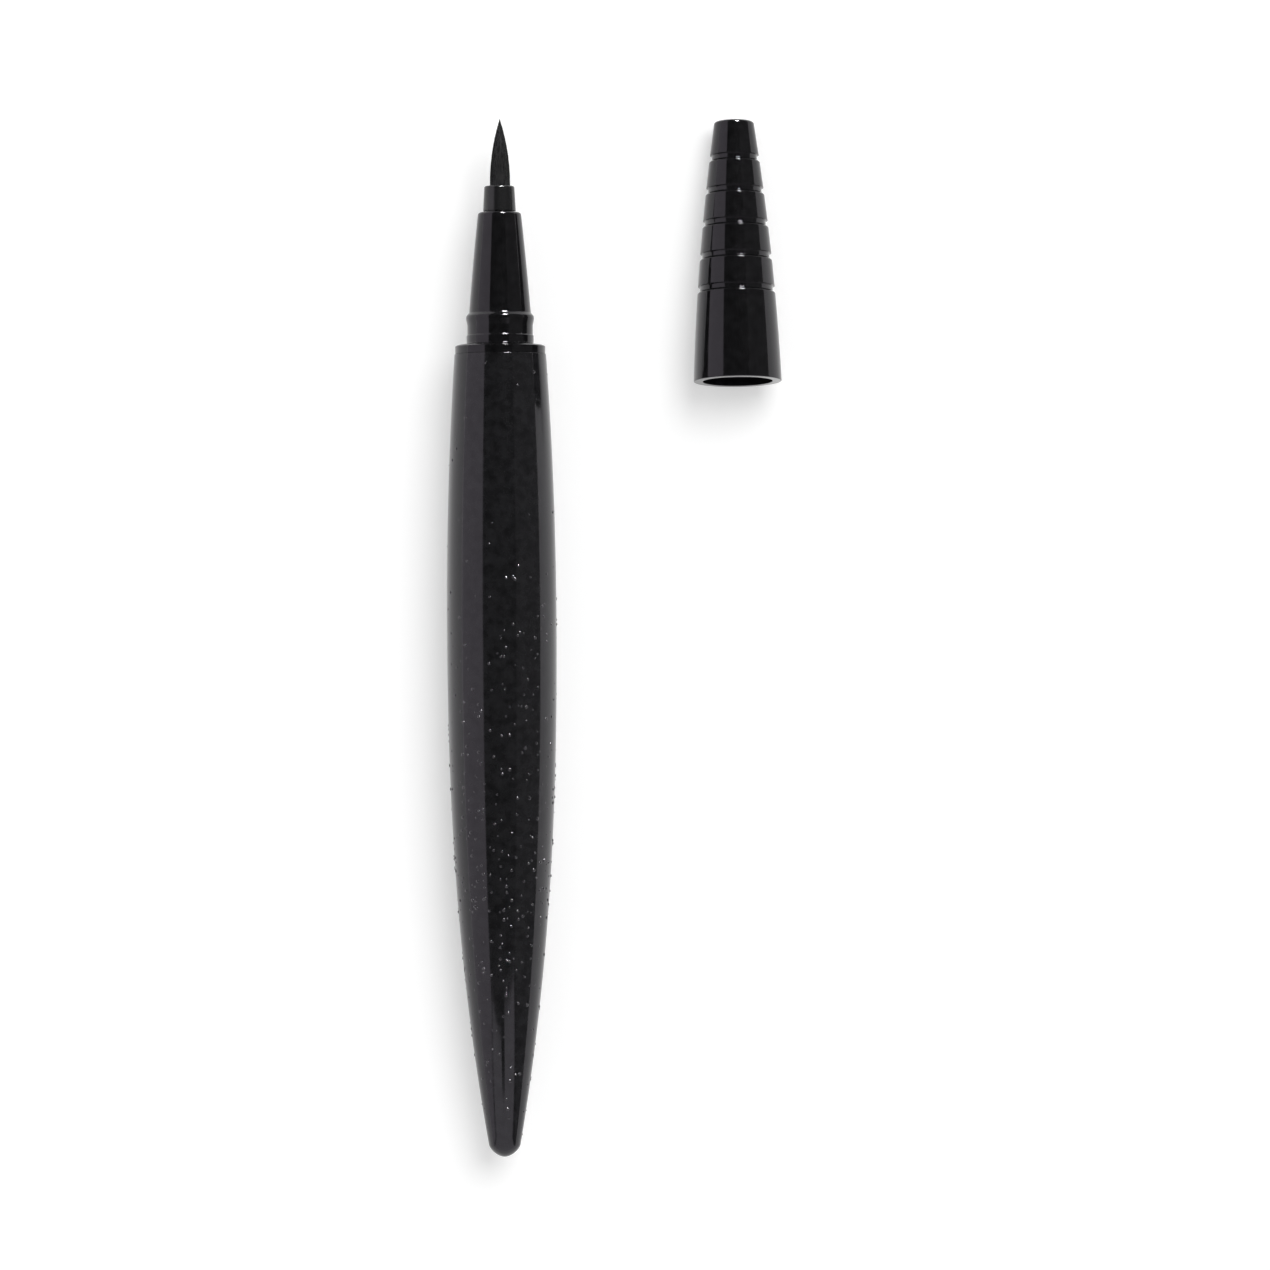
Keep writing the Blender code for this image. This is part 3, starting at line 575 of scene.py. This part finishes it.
def inked_bristle(name):
    """Fine synthetic bristle wet with ink, streaked along its length."""
    finish = settings().finish
    middle = finish.bristle_roughness
    material, shader = textured(name, finish.bristle_colour, middle,
                                rough=(middle * 0.7, middle * 1.3), tones=(0.6, 1.5),
                                grain=(9000, 3, (1, 0.08, 1)), bump=(0.8, 0.00003),
                                bump_grain=(8000, 2, (1, 0.5, 1)))
    shader.inputs["Specular IOR Level"].default_value = 0.2
    return material


def natural_plastic(name):
    """Unpigmented plastic: milky, with soft flow marks and a little light inside it."""
    material, shader = textured(name, settings().finish.plastic_colour, 0.45, rough=(0.36, 0.54),
                                tones=(0.93, 1.05), grain=(220, 4, (1, 0.3, 1)),
                                bump=(0.3, 0.00001), bump_grain=(2400, 2))
    shader.inputs["Subsurface Weight"].default_value = 0.2
    shader.inputs["Subsurface Scale"].default_value = 0.0005
    return material


def wick_fibre(name):
    """Pressed fibre rod with long fine strands along the pen."""
    material, shader = textured(name, settings().finish.fibre_colour, 0.9, rough=(0.8, 1.0),
                                tones=(0.8, 1.1), grain=(9000, 3, (1, 0.05, 1)),
                                bump=(0.8, 0.00003))
    shader.inputs["Sheen Weight"].default_value = 0.2
    return material


def seal_rubber(name):
    """Matt elastomer with a dusty, finely pitted skin."""
    return textured(name, settings().finish.rubber_colour, 0.7, rough=(0.6, 0.85),
                    tones=(0.8, 1.2), grain=(4000, 4), bump=(0.5, 0.00001))[0]


def ball_steel(name):
    """Polished steel ball with fine scuffs."""
    return textured(name, settings().finish.steel_colour, 0.2, rough=(0.12, 0.32),
                    tones=(0.9, 1.1), grain=(2500, 5, (1, 0.1, 1)), bump=(0.1, 0.000005),
                    metallic=1.0)[0]


def barrel_rear_radius(height):
    """Outer radius of the barrel between its tail and its belly."""
    sizes = settings().barrel
    belly = SEAM * sizes.belly_share
    share = (belly - height) / (belly - sizes.tail_height)
    return sizes.belly_radius - (sizes.belly_radius - sizes.tail_radius) * share ** sizes.rear_power


def barrel_radius(height):
    """Outer radius of the barrel at any height, its rounded tail end included."""
    sizes = settings().barrel
    belly = SEAM * sizes.belly_share
    if height >= belly:
        share = (height - belly) / (SEAM - belly)
        return sizes.belly_radius - (sizes.belly_radius - sizes.front_radius) * share ** 2
    if height >= sizes.tail_length:
        return barrel_rear_radius(height)
    left = (1 - height / sizes.tail_length) ** sizes.tail_power
    return barrel_rear_radius(height) * (1 - left) ** (1 / sizes.tail_power)


def barrel_outline():
    """Bulged shell with a rounded tail, bored from the front."""
    sizes = settings().barrel
    front, edge = sizes.front_radius, sizes.front_edge
    belly = SEAM * sizes.belly_share
    bore = front - sizes.wall
    drop = (sizes.belly_radius - front) / (sizes.belly_radius - sizes.tail_radius)
    taper_place = belly - (belly - sizes.tail_height) * drop ** (1 / sizes.rear_power)
    turns = spread(0, math.pi / 2, TAIL_STEPS)
    heights = [sizes.tail_length * (1 - math.cos(turn)) for turn in turns]
    heights += spread(sizes.tail_length, SEAM - edge, FLANK_STEPS)[1:]
    outline = [Vector((height, barrel_radius(height))) for height in heights]
    inside = [(SEAM - edge * 2, front, 0), (SEAM, front, edge), (SEAM, bore, edge)]
    inside.append((taper_place, bore, 0))
    for height in spread(taper_place, sizes.solid_length, BORE_STEPS)[1:]:
        inside.append((height, barrel_rear_radius(height) - sizes.wall, 0))
    inside.append((sizes.solid_length, 0, 0))
    return outline[:-1] + supported(rounded(inside))[1:]


class EYELINER_OT_barrel(bpy.types.Operator):
    """Add the gloss black barrel"""

    bl_idname = "eyeliner.barrel"
    bl_label = "Barrel"

    def execute(self, context):
        finish = settings().finish
        shape = turned(barrel_outline(), SHELL_SIDES)
        gloss = gloss_black("barrel gloss black", finish.gloss_index, haze=finish.haze_level)
        add_piece("barrel_shell", shape, gloss, pen_place(), "pen", "barrel")
        return {"FINISHED"}


def bead_chance(height):
    """How likely a bead is at a height: most behind the belly, few towards both ends."""
    sizes = settings().barrel
    share = height / SEAM
    near = math.exp(-((share - sizes.bead_place) / sizes.bead_spread) ** 2)
    return max(LEAST_BEAD_CHANCE, near) * min(1.0, share / BARE_TAIL_SHARE)


def add_bead(shape, height, turn, reach, rise):
    """Low dome on the barrel's flank."""
    radius = barrel_radius(height)
    out = Vector((math.cos(turn), math.sin(turn), 0))
    side = Vector((-math.sin(turn), math.cos(turn), 0))
    foot = out * (radius - BEAD_SINK) + Vector((0, 0, height))
    crown = shape.verts.new(foot + out * rise)
    rings = []
    for tilt in spread(0, math.pi / 2, BEAD_RINGS + 1)[1:]:
        wide = reach * math.sin(tilt)
        centre = foot + out * rise * math.cos(tilt)
        rings.append(add_ring(shape, centre, side * wide, Vector((0, 0, wide)), BEAD_SIDES))
    for spoke in range(BEAD_SIDES):
        after = (spoke + 1) % BEAD_SIDES
        shape.faces.new((crown, rings[0][spoke], rings[0][after]))
        for near, far in zip(rings, rings[1:]):
            shape.faces.new((near[spoke], far[spoke], far[after], near[after]))
    shape.faces.new(rings[-1])


class EYELINER_OT_beads(bpy.types.Operator):
    """Add the small raised beads on the barrel"""

    bl_idname = "eyeliner.beads"
    bl_label = "Beads"

    def execute(self, context):
        sizes = settings().barrel
        draw = random.Random(BEAD_SEED)
        shape = bmesh.new()
        place = pen_place()
        for _ in range(sizes.bead_count):
            height = draw.uniform(0, SEAM * BEADED_SHARE)
            turn = draw.uniform(0, math.tau)
            size = sizes.bead_least + (1 - sizes.bead_least) * draw.random() ** BEAD_RARITY
            if draw.random() > bead_chance(height):
                continue
            reach, rise = sizes.bead_radius * size, sizes.bead_height * size
            top = barrel_radius(height) + rise
            crown = place @ Vector((top * math.cos(turn), top * math.sin(turn), height))
            if CAD_BOX[0].x < crown.x and CAD_BOX[0].z < crown.z:
                add_bead(shape, height, turn, reach, rise)
        gloss = gloss_black("bead gloss black", settings().finish.bead_index, spread_out=1.7)
        add_piece("barrel_beads", shape, gloss, place, "pen")
        return {"FINISHED"}


def cone_radius(height):
    """Outer radius of the section's slightly swollen cone."""
    sizes = settings().nose
    front = sizes.cone_front_radius
    rear = SHOULDER + sizes.foot_length + sizes.neck_length + CONE_SWELL_START
    share = (CONE_FRONT - height) / (CONE_FRONT - rear)
    rise = share * (1 + sizes.cone_bulge) - sizes.cone_bulge * share ** 2
    return front + (sizes.neck_radius - sizes.cone_step - front) * rise


def section_outline():
    """Skirt, flange, foot ring, neck, snap ridge and cone, with the bore through them."""
    sizes = settings().nose
    neck, bore, nose_bore = sizes.neck_radius, sizes.bore_radius, sizes.nose_bore_radius
    skirt, flange, foot = sizes.skirt_radius, sizes.flange_radius, neck + sizes.foot_lip
    flange_rear = SHOULDER - sizes.flange_thickness
    flange_front = SHOULDER - sizes.flange_fall
    chamfer_rear = flange_front - sizes.flange_edge * CHAMFER_FALL
    foot_end = SHOULDER + sizes.foot_length
    neck_end = foot_end + sizes.neck_length
    crest = neck_end + sizes.ridge_length * RIDGE_CREST
    brow = neck_end + sizes.ridge_length * RIDGE_BROW
    cone_rear = neck_end + sizes.ridge_length
    land_rear = CONE_FRONT - sizes.nose_land
    corners = [(SKIRT_REAR, bore, 0), (SKIRT_REAR, skirt, 0.0001), (flange_rear, skirt, 0),
               (flange_rear, flange, 0.00004), (chamfer_rear, flange, 0.00003),
               (flange_front, flange - sizes.flange_edge, 0.00003), (SHOULDER, foot, 0.00003),
               (foot_end, foot, 0.00006), (foot_end + FOOT_SLOPE, neck, 0.0002),
               (neck_end, neck, 0.0004), (crest, neck + sizes.ridge_height, 0.0003),
               (brow, neck + sizes.ridge_height * BROW_HEIGHT, 0.0003),
               (cone_rear, cone_radius(cone_rear), 0.0003)]
    for height in spread(cone_rear, CONE_FRONT, CONE_STEPS)[1:-1]:
        corners.append((height, cone_radius(height), 0))
    corners += [(CONE_FRONT, sizes.cone_front_radius, sizes.cone_edge),
                (CONE_FRONT, nose_bore, 0.00005), (land_rear, nose_bore, 0)]
    for height in (land_rear, cone_rear):
        corners.append((height, cone_radius(height) - (neck - bore), 0))
    corners.append((neck_end, bore, 0))
    return supported(rounded(corners))


class EYELINER_OT_section(bpy.types.Operator):
    """Add the front section with its flange, neck, snap ridge and cone"""

    bl_idname = "eyeliner.section"
    bl_label = "Front section"

    def execute(self, context):
        shape = turned(section_outline(), SHELL_SIDES)
        gloss = gloss_black("section gloss black", settings().finish.gloss_index)
        add_piece("front_moulding", shape, gloss, pen_place(), "pen", "front_section")
        return {"FINISHED"}


def collar_outline():
    """Collar in front of the cone, with the stem that plugs into it."""
    sizes = settings().nose
    rear = COLLAR_FRONT - sizes.collar_length
    stem, bore = sizes.nose_bore_radius - STEM_GAP, sizes.collar_bore_radius
    front = sizes.collar_front_radius
    corners = [(STEM_REAR, bore, 0), (STEM_REAR, stem, 0.0001), (rear, stem, 0),
               (rear, front + sizes.collar_flare, 0.00008),
               (COLLAR_FRONT, front, sizes.collar_edge), (COLLAR_FRONT, bore, 0.00003)]
    return supported(rounded(corners))


class EYELINER_OT_collar(bpy.types.Operator):
    """Add the collar that holds the brush"""

    bl_idname = "eyeliner.collar"
    bl_label = "Collar"

    def execute(self, context):
        shape = turned(collar_outline(), COLLAR_SIDES)
        add_piece("collar_ring", shape, satin_black("collar satin black"), pen_place(), "pen",
                  "nose_collar")
        return {"FINISHED"}


def brush_height(share):
    """Height of a place in the brush at a share of the way back from its tip."""
    return COLLAR_FRONT + settings().nose.brush_length * (1 - share)


def brush_swell(share):
    """Radius of the brush, as a share of its root's, at a share of the way back from the tip."""
    return 1 - (1 - share) ** settings().nose.brush_power


def strand_closeness(share):
    """How far the bristles have drawn in at a share of the way back from the tip."""
    return max(math.sqrt(brush_swell(share)), LEAST_CLOSENESS)


def add_strand(shape, number):
    """One pointed bristle of the bundle, drawn in towards the tip."""
    sizes = settings().nose
    share_out = math.sqrt((number + 0.5) / sizes.strand_count)
    reach = (sizes.brush_radius - sizes.strand_radius) * share_out
    turn = number * GOLDEN_TURN
    swell = min((reach / sizes.brush_radius) ** 2, 1)
    end = 1 - (1 - swell) ** (1 / sizes.brush_power)
    root = BRUSH_REAR + sizes.brush_backing / 2
    places = [(root, 1.0, 1.0)]
    for share in BRUSH_LEVELS:
        if share > end + BRUSH_LEVELS[-1]:
            thin = min(1.0, LEAST_STRAND + (share - end) * STRAND_POINT)
            places.append((brush_height(share), strand_closeness(share), thin))
    out = Vector((math.cos(turn), math.sin(turn), 0))
    aside = Vector((-out.y, out.x, 0))
    rings = []
    for height, close, thin in places:
        centre = out * close * reach + Vector((0, 0, height))
        radius = sizes.strand_radius * thin * close
        rings.append(add_ring(shape, centre, out * radius, aside * radius, STRAND_SIDES))
    close = strand_closeness(end) * reach
    tip = shape.verts.new(out * close + Vector((0, 0, brush_height(end))))
    shape.faces.new(list(reversed(rings[0])))
    for side in range(STRAND_SIDES):
        after = (side + 1) % STRAND_SIDES
        for near, far in zip(rings, rings[1:]):
            shape.faces.new((near[side], near[after], far[after], far[side]))
        shape.faces.new((rings[-1][side], rings[-1][after], tip))


class EYELINER_OT_brush(bpy.types.Operator):
    """Add the pointed bundle of inked bristles"""

    bl_idname = "eyeliner.brush"
    bl_label = "Brush"

    def execute(self, context):
        sizes = settings().nose
        shape = bmesh.new()
        for number in range(sizes.strand_count):
            add_strand(shape, number)
        core_radius = sizes.brush_radius - sizes.strand_radius * CORE_INSET
        front = BRUSH_REAR + sizes.brush_backing
        core = [(BRUSH_REAR, 0), (BRUSH_REAR, sizes.brush_radius),
                (front, sizes.brush_radius), (front, core_radius)]
        for share in reversed(spread(0, 1, CORE_STEPS)):
            height = brush_height(CORE_START + (1 - CORE_START) * share)
            core.append((height, core_radius * brush_swell(share)))
        add_turned(shape, core, CORE_SIDES)
        place = Matrix.Translation((sizes.brush_aside, 0, 0)) @ pen_place()
        add_piece("brush_bristles", shape, inked_bristle("inked bristle"), place, "pen",
                  "brush_tip")
        return {"FINISHED"}


def cap_radius(height):
    """Outer radius of the cap outside its grooves."""
    sizes = settings().cap
    share = height / sizes.length
    fall = sizes.straight_share * share + (1 - sizes.straight_share) * share ** 2
    return sizes.mouth_radius - (sizes.mouth_radius - sizes.top_radius) * fall


def cap_bore_radius(height):
    """Radius of the cap's bore, which follows the outside where the cap narrows."""
    sizes = settings().cap
    return min(sizes.bore_radius, cap_radius(height) - sizes.wall)


def groove_corners(centre):
    """One groove: a slope below it, a narrow bottom and a sharp lip above it."""
    sizes = settings().cap
    corners = []
    for place, depth, rounding in GROOVE_CORNERS:
        height = centre + sizes.groove_width * place
        corners.append((height, cap_radius(height) - sizes.groove_depth * depth, rounding))
    return corners


def cap_outline():
    """Cap shell: bore with its snap bead, mouth, sleeve, grooves, rings and top."""
    sizes = settings().cap
    end, sleeve, bore = sizes.length, sizes.sleeve_length, sizes.bore_radius
    bore_end = end - sizes.top_wall
    pitch = (end - sleeve - sizes.top_ring_length) / (sizes.rings - 1)
    snap, half = sizes.snap_place, sizes.snap_width / 2
    corners = [(bore_end, 0, 0)]
    for height in spread(bore_end, snap + sizes.snap_width, BORE_CORNERS):
        corners.append((height, cap_bore_radius(height), 0))
    corners += [(snap + half, bore, 0.0003), (snap, bore - sizes.snap_bite, 0.0004),
                (snap - half, bore, 0.0003), (0, bore, 0.00006),
                (0, sizes.mouth_radius, sizes.mouth_edge)]
    for height in spread(0, sleeve, SLEEVE_CORNERS)[1:-1]:
        corners.append((height, cap_radius(height), 0))
    for ring in range(sizes.rings):
        corners += groove_corners(sleeve + pitch * ring)
    corners += [(end, sizes.top_radius, sizes.top_edge), (end, 0, 0)]
    return supported(rounded(corners))


class EYELINER_OT_cap(bpy.types.Operator):
    """Add the ringed cap"""

    bl_idname = "eyeliner.cap"
    bl_label = "Cap"

    def execute(self, context):
        shape = turned(cap_outline(), SHELL_SIDES)
        gloss = gloss_black("cap gloss black", settings().finish.gloss_index)
        add_piece("cap_body", shape, gloss, cap_place(), "cap", "cap_shell")
        return {"FINISHED"}


def liner_outline():
    """Liner cup in the cap, with the lip that closes round the pen's collar."""
    sizes = settings().cap
    end = sizes.length - sizes.top_wall - sizes.liner_gap
    chamber_end = end - sizes.liner_wall
    mouth, lip = sizes.liner_mouth, sizes.liner_lip_radius
    lip_rear = sizes.liner_lip_place - sizes.liner_lip_width / 2
    lip_front = sizes.liner_lip_place + sizes.liner_lip_width / 2

    def outer(height):
        return cap_bore_radius(height) - sizes.liner_gap

    def inner(height):
        return outer(height) - sizes.liner_wall

    corners = [(chamber_end, 0, 0), (chamber_end, inner(chamber_end), 0.0002),
               (lip_front, inner(lip_front), 0), (lip_front, lip, 0.0001),
               (lip_rear, lip, 0.0001), (lip_rear, inner(lip_rear), 0),
               (mouth, inner(mouth), 0.00008), (mouth, outer(mouth), 0.00008)]
    for height in spread(mouth, end, BORE_CORNERS)[1:-1]:
        corners.append((height, outer(height), 0))
    corners += [(end, outer(end), 0.00015), (end, 0, 0)]
    return supported(rounded(corners))


class EYELINER_OT_liner(bpy.types.Operator):
    """Add the liner that seals the brush inside the cap"""

    bl_idname = "eyeliner.liner"
    bl_label = "Cap liner"

    def execute(self, context):
        shape = turned(liner_outline(), COLLAR_SIDES)
        add_piece("cap_liner", shape, satin_black("liner satin black"), cap_place(), "cap",
                  "inner_cap")
        return {"FINISHED"}


INNER_FINISHES = (
    ("brush_retainer", natural_plastic),
    ("feed_wick", wick_fibre),
    ("ink_collector", natural_plastic),
    ("tank_front_plug", natural_plastic),
    ("tank_seal_ring", seal_rubber),
    ("ink_tank", natural_plastic),
    ("tank_end_plug", natural_plastic),
    ("rear_cushion", seal_rubber),
    ("mixing_ball", ball_steel),
)


class EYELINER_OT_inner_parts(bpy.types.Operator):
    """Finish the pieces inside the pen"""

    bl_idname = "eyeliner.inner_parts"
    bl_label = "Inner parts"

    def execute(self, context):
        for node, finish in INNER_FINISHES:
            material = finish(node.replace("_", " ") + " finish")
            for holder in frame["nodes"][node].material_slots:
                holder.material = material
        return {"FINISHED"}


def combine(nodes, operation, first, second):
    """Result of a maths node on two sockets, or on a socket and a number."""
    node = nodes.new("ShaderNodeMath")
    node.operation = operation
    for socket, value in zip(node.inputs, (first, second)):
        if isinstance(value, (int, float)):
            socket.default_value = value
        else:
            join(nodes, value, socket)
    return node.outputs["Value"]


def add_floor():
    """Pale table that keeps the object's shadow and runs to white where seen or mirrored."""
    sizes = settings().stage
    material, nodes, shader = new_material("pale table", sizes.floor_colour, 1.0)
    shader.inputs["Specular IOR Level"].default_value = 0.0
    shader.inputs["Emission Color"].default_value = (1, 1, 1, 1)
    path = nodes.new("ShaderNodeLightPath").outputs
    seen = combine(nodes, "MAXIMUM", path["Is Glossy Ray"], path["Is Transmission Ray"])
    seen = combine(nodes, "MAXIMUM", seen, path["Is Camera Ray"])
    lift = combine(nodes, "MULTIPLY", seen, sizes.floor_lift)
    join(nodes, lift, shader.inputs["Emission Strength"])
    shape = bmesh.new()
    bmesh.ops.create_circle(shape, cap_ends=True, segments=FLOOR_SIDES, radius=sizes.floor_radius)
    floor = mesh_object("table", shape, material)


def add_lamp(name, brightness, tint, shape, width, height):
    """Area lamp of a plain brightness, which the camera doesn't see."""
    lamp_data = bpy.data.lights.new(name, "AREA")
    lamp_data.shape = shape
    lamp_data.size = width
    lamp_data.size_y = height
    area = width * height if shape == "RECTANGLE" else math.pi * width * height / 4
    lamp_data.energy = brightness * math.pi * area
    lamp_data.color = tint
    lamp = in_scene(name, lamp_data)
    lamp.visible_camera = False
    return lamp


def aim_lamp(lamp, towards, distance):
    """Put a lamp at a distance in a direction, facing the object."""
    towards = Vector(towards).normalized()
    lamp.location = towards * distance
    lamp.rotation_euler = towards.to_track_quat("Z", "Y").to_euler()


def add_panel(name, brightness, tint, start, end):
    """Upright panel between two corners, which only gloss shows, as a band."""
    middle = (Vector(start) + Vector(end)) / 2
    span = Vector(end) - Vector(start)
    across = Vector((span.x, span.y, 0))
    panel = add_lamp(name, brightness, tint, "RECTANGLE", across.length, span.z)
    outward = across.cross(Vector((0, 0, 1)))
    if outward.dot(middle) < 0:
        outward.negate()
    panel.location = middle
    panel.rotation_euler = outward.to_track_quat("Z", "Y").to_euler()
    panel.visible_diffuse = False


def add_side_panels():
    """Bright panel left of the object and dim panel right of it."""
    sizes = settings().stage
    side = sizes.panel_distance
    for name, brightness, tint, place, height in (
            ("left panel", sizes.left_level, (0.97, 0.92, 1.0), -side, sizes.left_height),
            ("right panel", sizes.right_level, (1.0, 1.0, 1.0), side, sizes.right_height)):
        start, end = (place, -sizes.panel_rear, 0), (place, sizes.panel_front, height)
        add_panel(name, brightness, tint, start, end)


def add_rear_panels():
    """Panels behind the tail: one up to a height, and two above it with a dark gap between."""
    sizes = settings().stage
    back = -sizes.rear_distance
    left, right, low = -sizes.rear_left, sizes.rear_right, sizes.rear_height
    gap_left, gap_right = -sizes.rear_gap_left, sizes.rear_gap_right
    for name, start, end in (
            ("rear panel", (left, back, 0), (right, back, low)),
            ("rear left panel", (left, back, low), (gap_left, back, sizes.rear_left_height)),
            ("rear right panel", (gap_right, back, low), (right, back, sizes.rear_right_height))):
        add_panel(name, sizes.rear_level, (0.97, 0.95, 1.0), start, end)


def add_camera():
    """Camera straight above the object, at the photograph's framing."""
    sizes = settings().stage
    camera_data = bpy.data.cameras.new("camera")
    camera_data.lens = sizes.camera_lens
    camera_data.sensor_width = 36
    camera_data.clip_start = 0.01
    camera = in_scene("camera", camera_data)
    offset = Vector((sizes.camera_aside, sizes.camera_forward, sizes.camera_height))
    camera.location = PEN_REAR + offset
    camera.rotation_euler = (0, 0, sizes.camera_roll)
    bpy.context.scene.camera = camera


def set_world():
    """Soft air on matt surfaces, a dark studio in gloss, white below it and for the camera."""
    sizes = settings().stage
    world = bpy.data.worlds.new("studio")
    world.use_nodes = True
    nodes = world.node_tree.nodes
    path = nodes.new("ShaderNodeLightPath").outputs
    seen = path["Is Camera Ray"]
    mirrored = combine(nodes, "MAXIMUM", path["Is Glossy Ray"], path["Is Transmission Ray"])
    aim = nodes.new("ShaderNodeSeparateXYZ")
    join(nodes, nodes.new("ShaderNodeTexCoord").outputs["Generated"], aim.inputs["Vector"])
    low = combine(nodes, "LESS_THAN", aim.outputs["Z"], 0.0)
    white = combine(nodes, "MAXIMUM", seen, combine(nodes, "MULTIPLY", mirrored, low))
    plain = combine(nodes, "SUBTRACT", 1, combine(nodes, "MAXIMUM", seen, mirrored))
    studio = combine(nodes, "MULTIPLY", mirrored, sizes.studio_level)
    air = combine(nodes, "MULTIPLY", plain, sizes.air_level)
    strength = combine(nodes, "MAXIMUM", white, combine(nodes, "MAXIMUM", studio, air))
    join(nodes, strength, nodes["Background"].inputs["Strength"])
    nodes["Background"].inputs["Color"].default_value = (1, 1, 1, 1)
    bpy.context.scene.world = world


class EYELINER_OT_stage(bpy.types.Operator):
    """Add the table, the lamps, the world and the camera"""

    bl_idname = "eyeliner.stage"
    bl_label = "Stage"

    def execute(self, context):
        sizes = settings().stage
        add_floor()
        wide = sizes.soft_radius * 2
        soft = add_lamp("soft lamp", sizes.soft_level, (1, 1, 1), "DISK", wide, wide)
        aim_lamp(soft, sizes.soft_direction, sizes.lamp_distance)
        soft.visible_glossy = False
        spark = add_lamp("spark lamp", sizes.spark_level, (1, 1, 1), "ELLIPSE", sizes.spark_width,
                         sizes.spark_height)
        aim_lamp(spark, sizes.spark_direction, sizes.lamp_distance)
        spark.visible_diffuse = False
        add_side_panels()
        add_rear_panels()
        set_world()
        add_camera()
        context.scene.view_settings.view_transform = "Standard"
        return {"FINISHED"}


class EYELINER_PT_sidebar(bpy.types.Panel):
    """List of the pen's pieces and the stage"""

    bl_label = "Eyeliner"
    bl_idname = "EYELINER_PT_sidebar"
    bl_space_type = "VIEW_3D"
    bl_region_type = "UI"
    bl_category = "Eyeliner"

    def draw(self, context):
        for operator in OPERATORS:
            self.layout.operator(operator.bl_idname)


OPERATORS = (
    EYELINER_OT_barrel,
    EYELINER_OT_beads,
    EYELINER_OT_section,
    EYELINER_OT_collar,
    EYELINER_OT_brush,
    EYELINER_OT_cap,
    EYELINER_OT_liner,
    EYELINER_OT_inner_parts,
    EYELINER_OT_stage,
)
GROUPS = (EyelinerBarrel, EyelinerNose, EyelinerCap, EyelinerFinish, EyelinerStage,
          EyelinerSettings)
CLASSES = (*GROUPS, *OPERATORS, EYELINER_PT_sidebar)


def register():
    """Register every class and hang the settings on the scene."""
    for item in CLASSES:
        bpy.utils.register_class(item)
    bpy.types.Scene.eyeliner = PointerProperty(type=EyelinerSettings)


def unregister():
    """Take the settings off the scene and unregister every class."""
    del bpy.types.Scene.eyeliner
    for item in reversed(CLASSES):
        bpy.utils.unregister_class(item)


def main():
    """Build every piece and the stage."""
    register()
    bpy.ops.eyeliner.barrel()
    bpy.ops.eyeliner.beads()
    bpy.ops.eyeliner.section()
    bpy.ops.eyeliner.collar()
    bpy.ops.eyeliner.brush()
    bpy.ops.eyeliner.cap()
    bpy.ops.eyeliner.liner()
    bpy.ops.eyeliner.inner_parts()
    bpy.ops.eyeliner.stage()


if __name__ == "__main__":
    main()
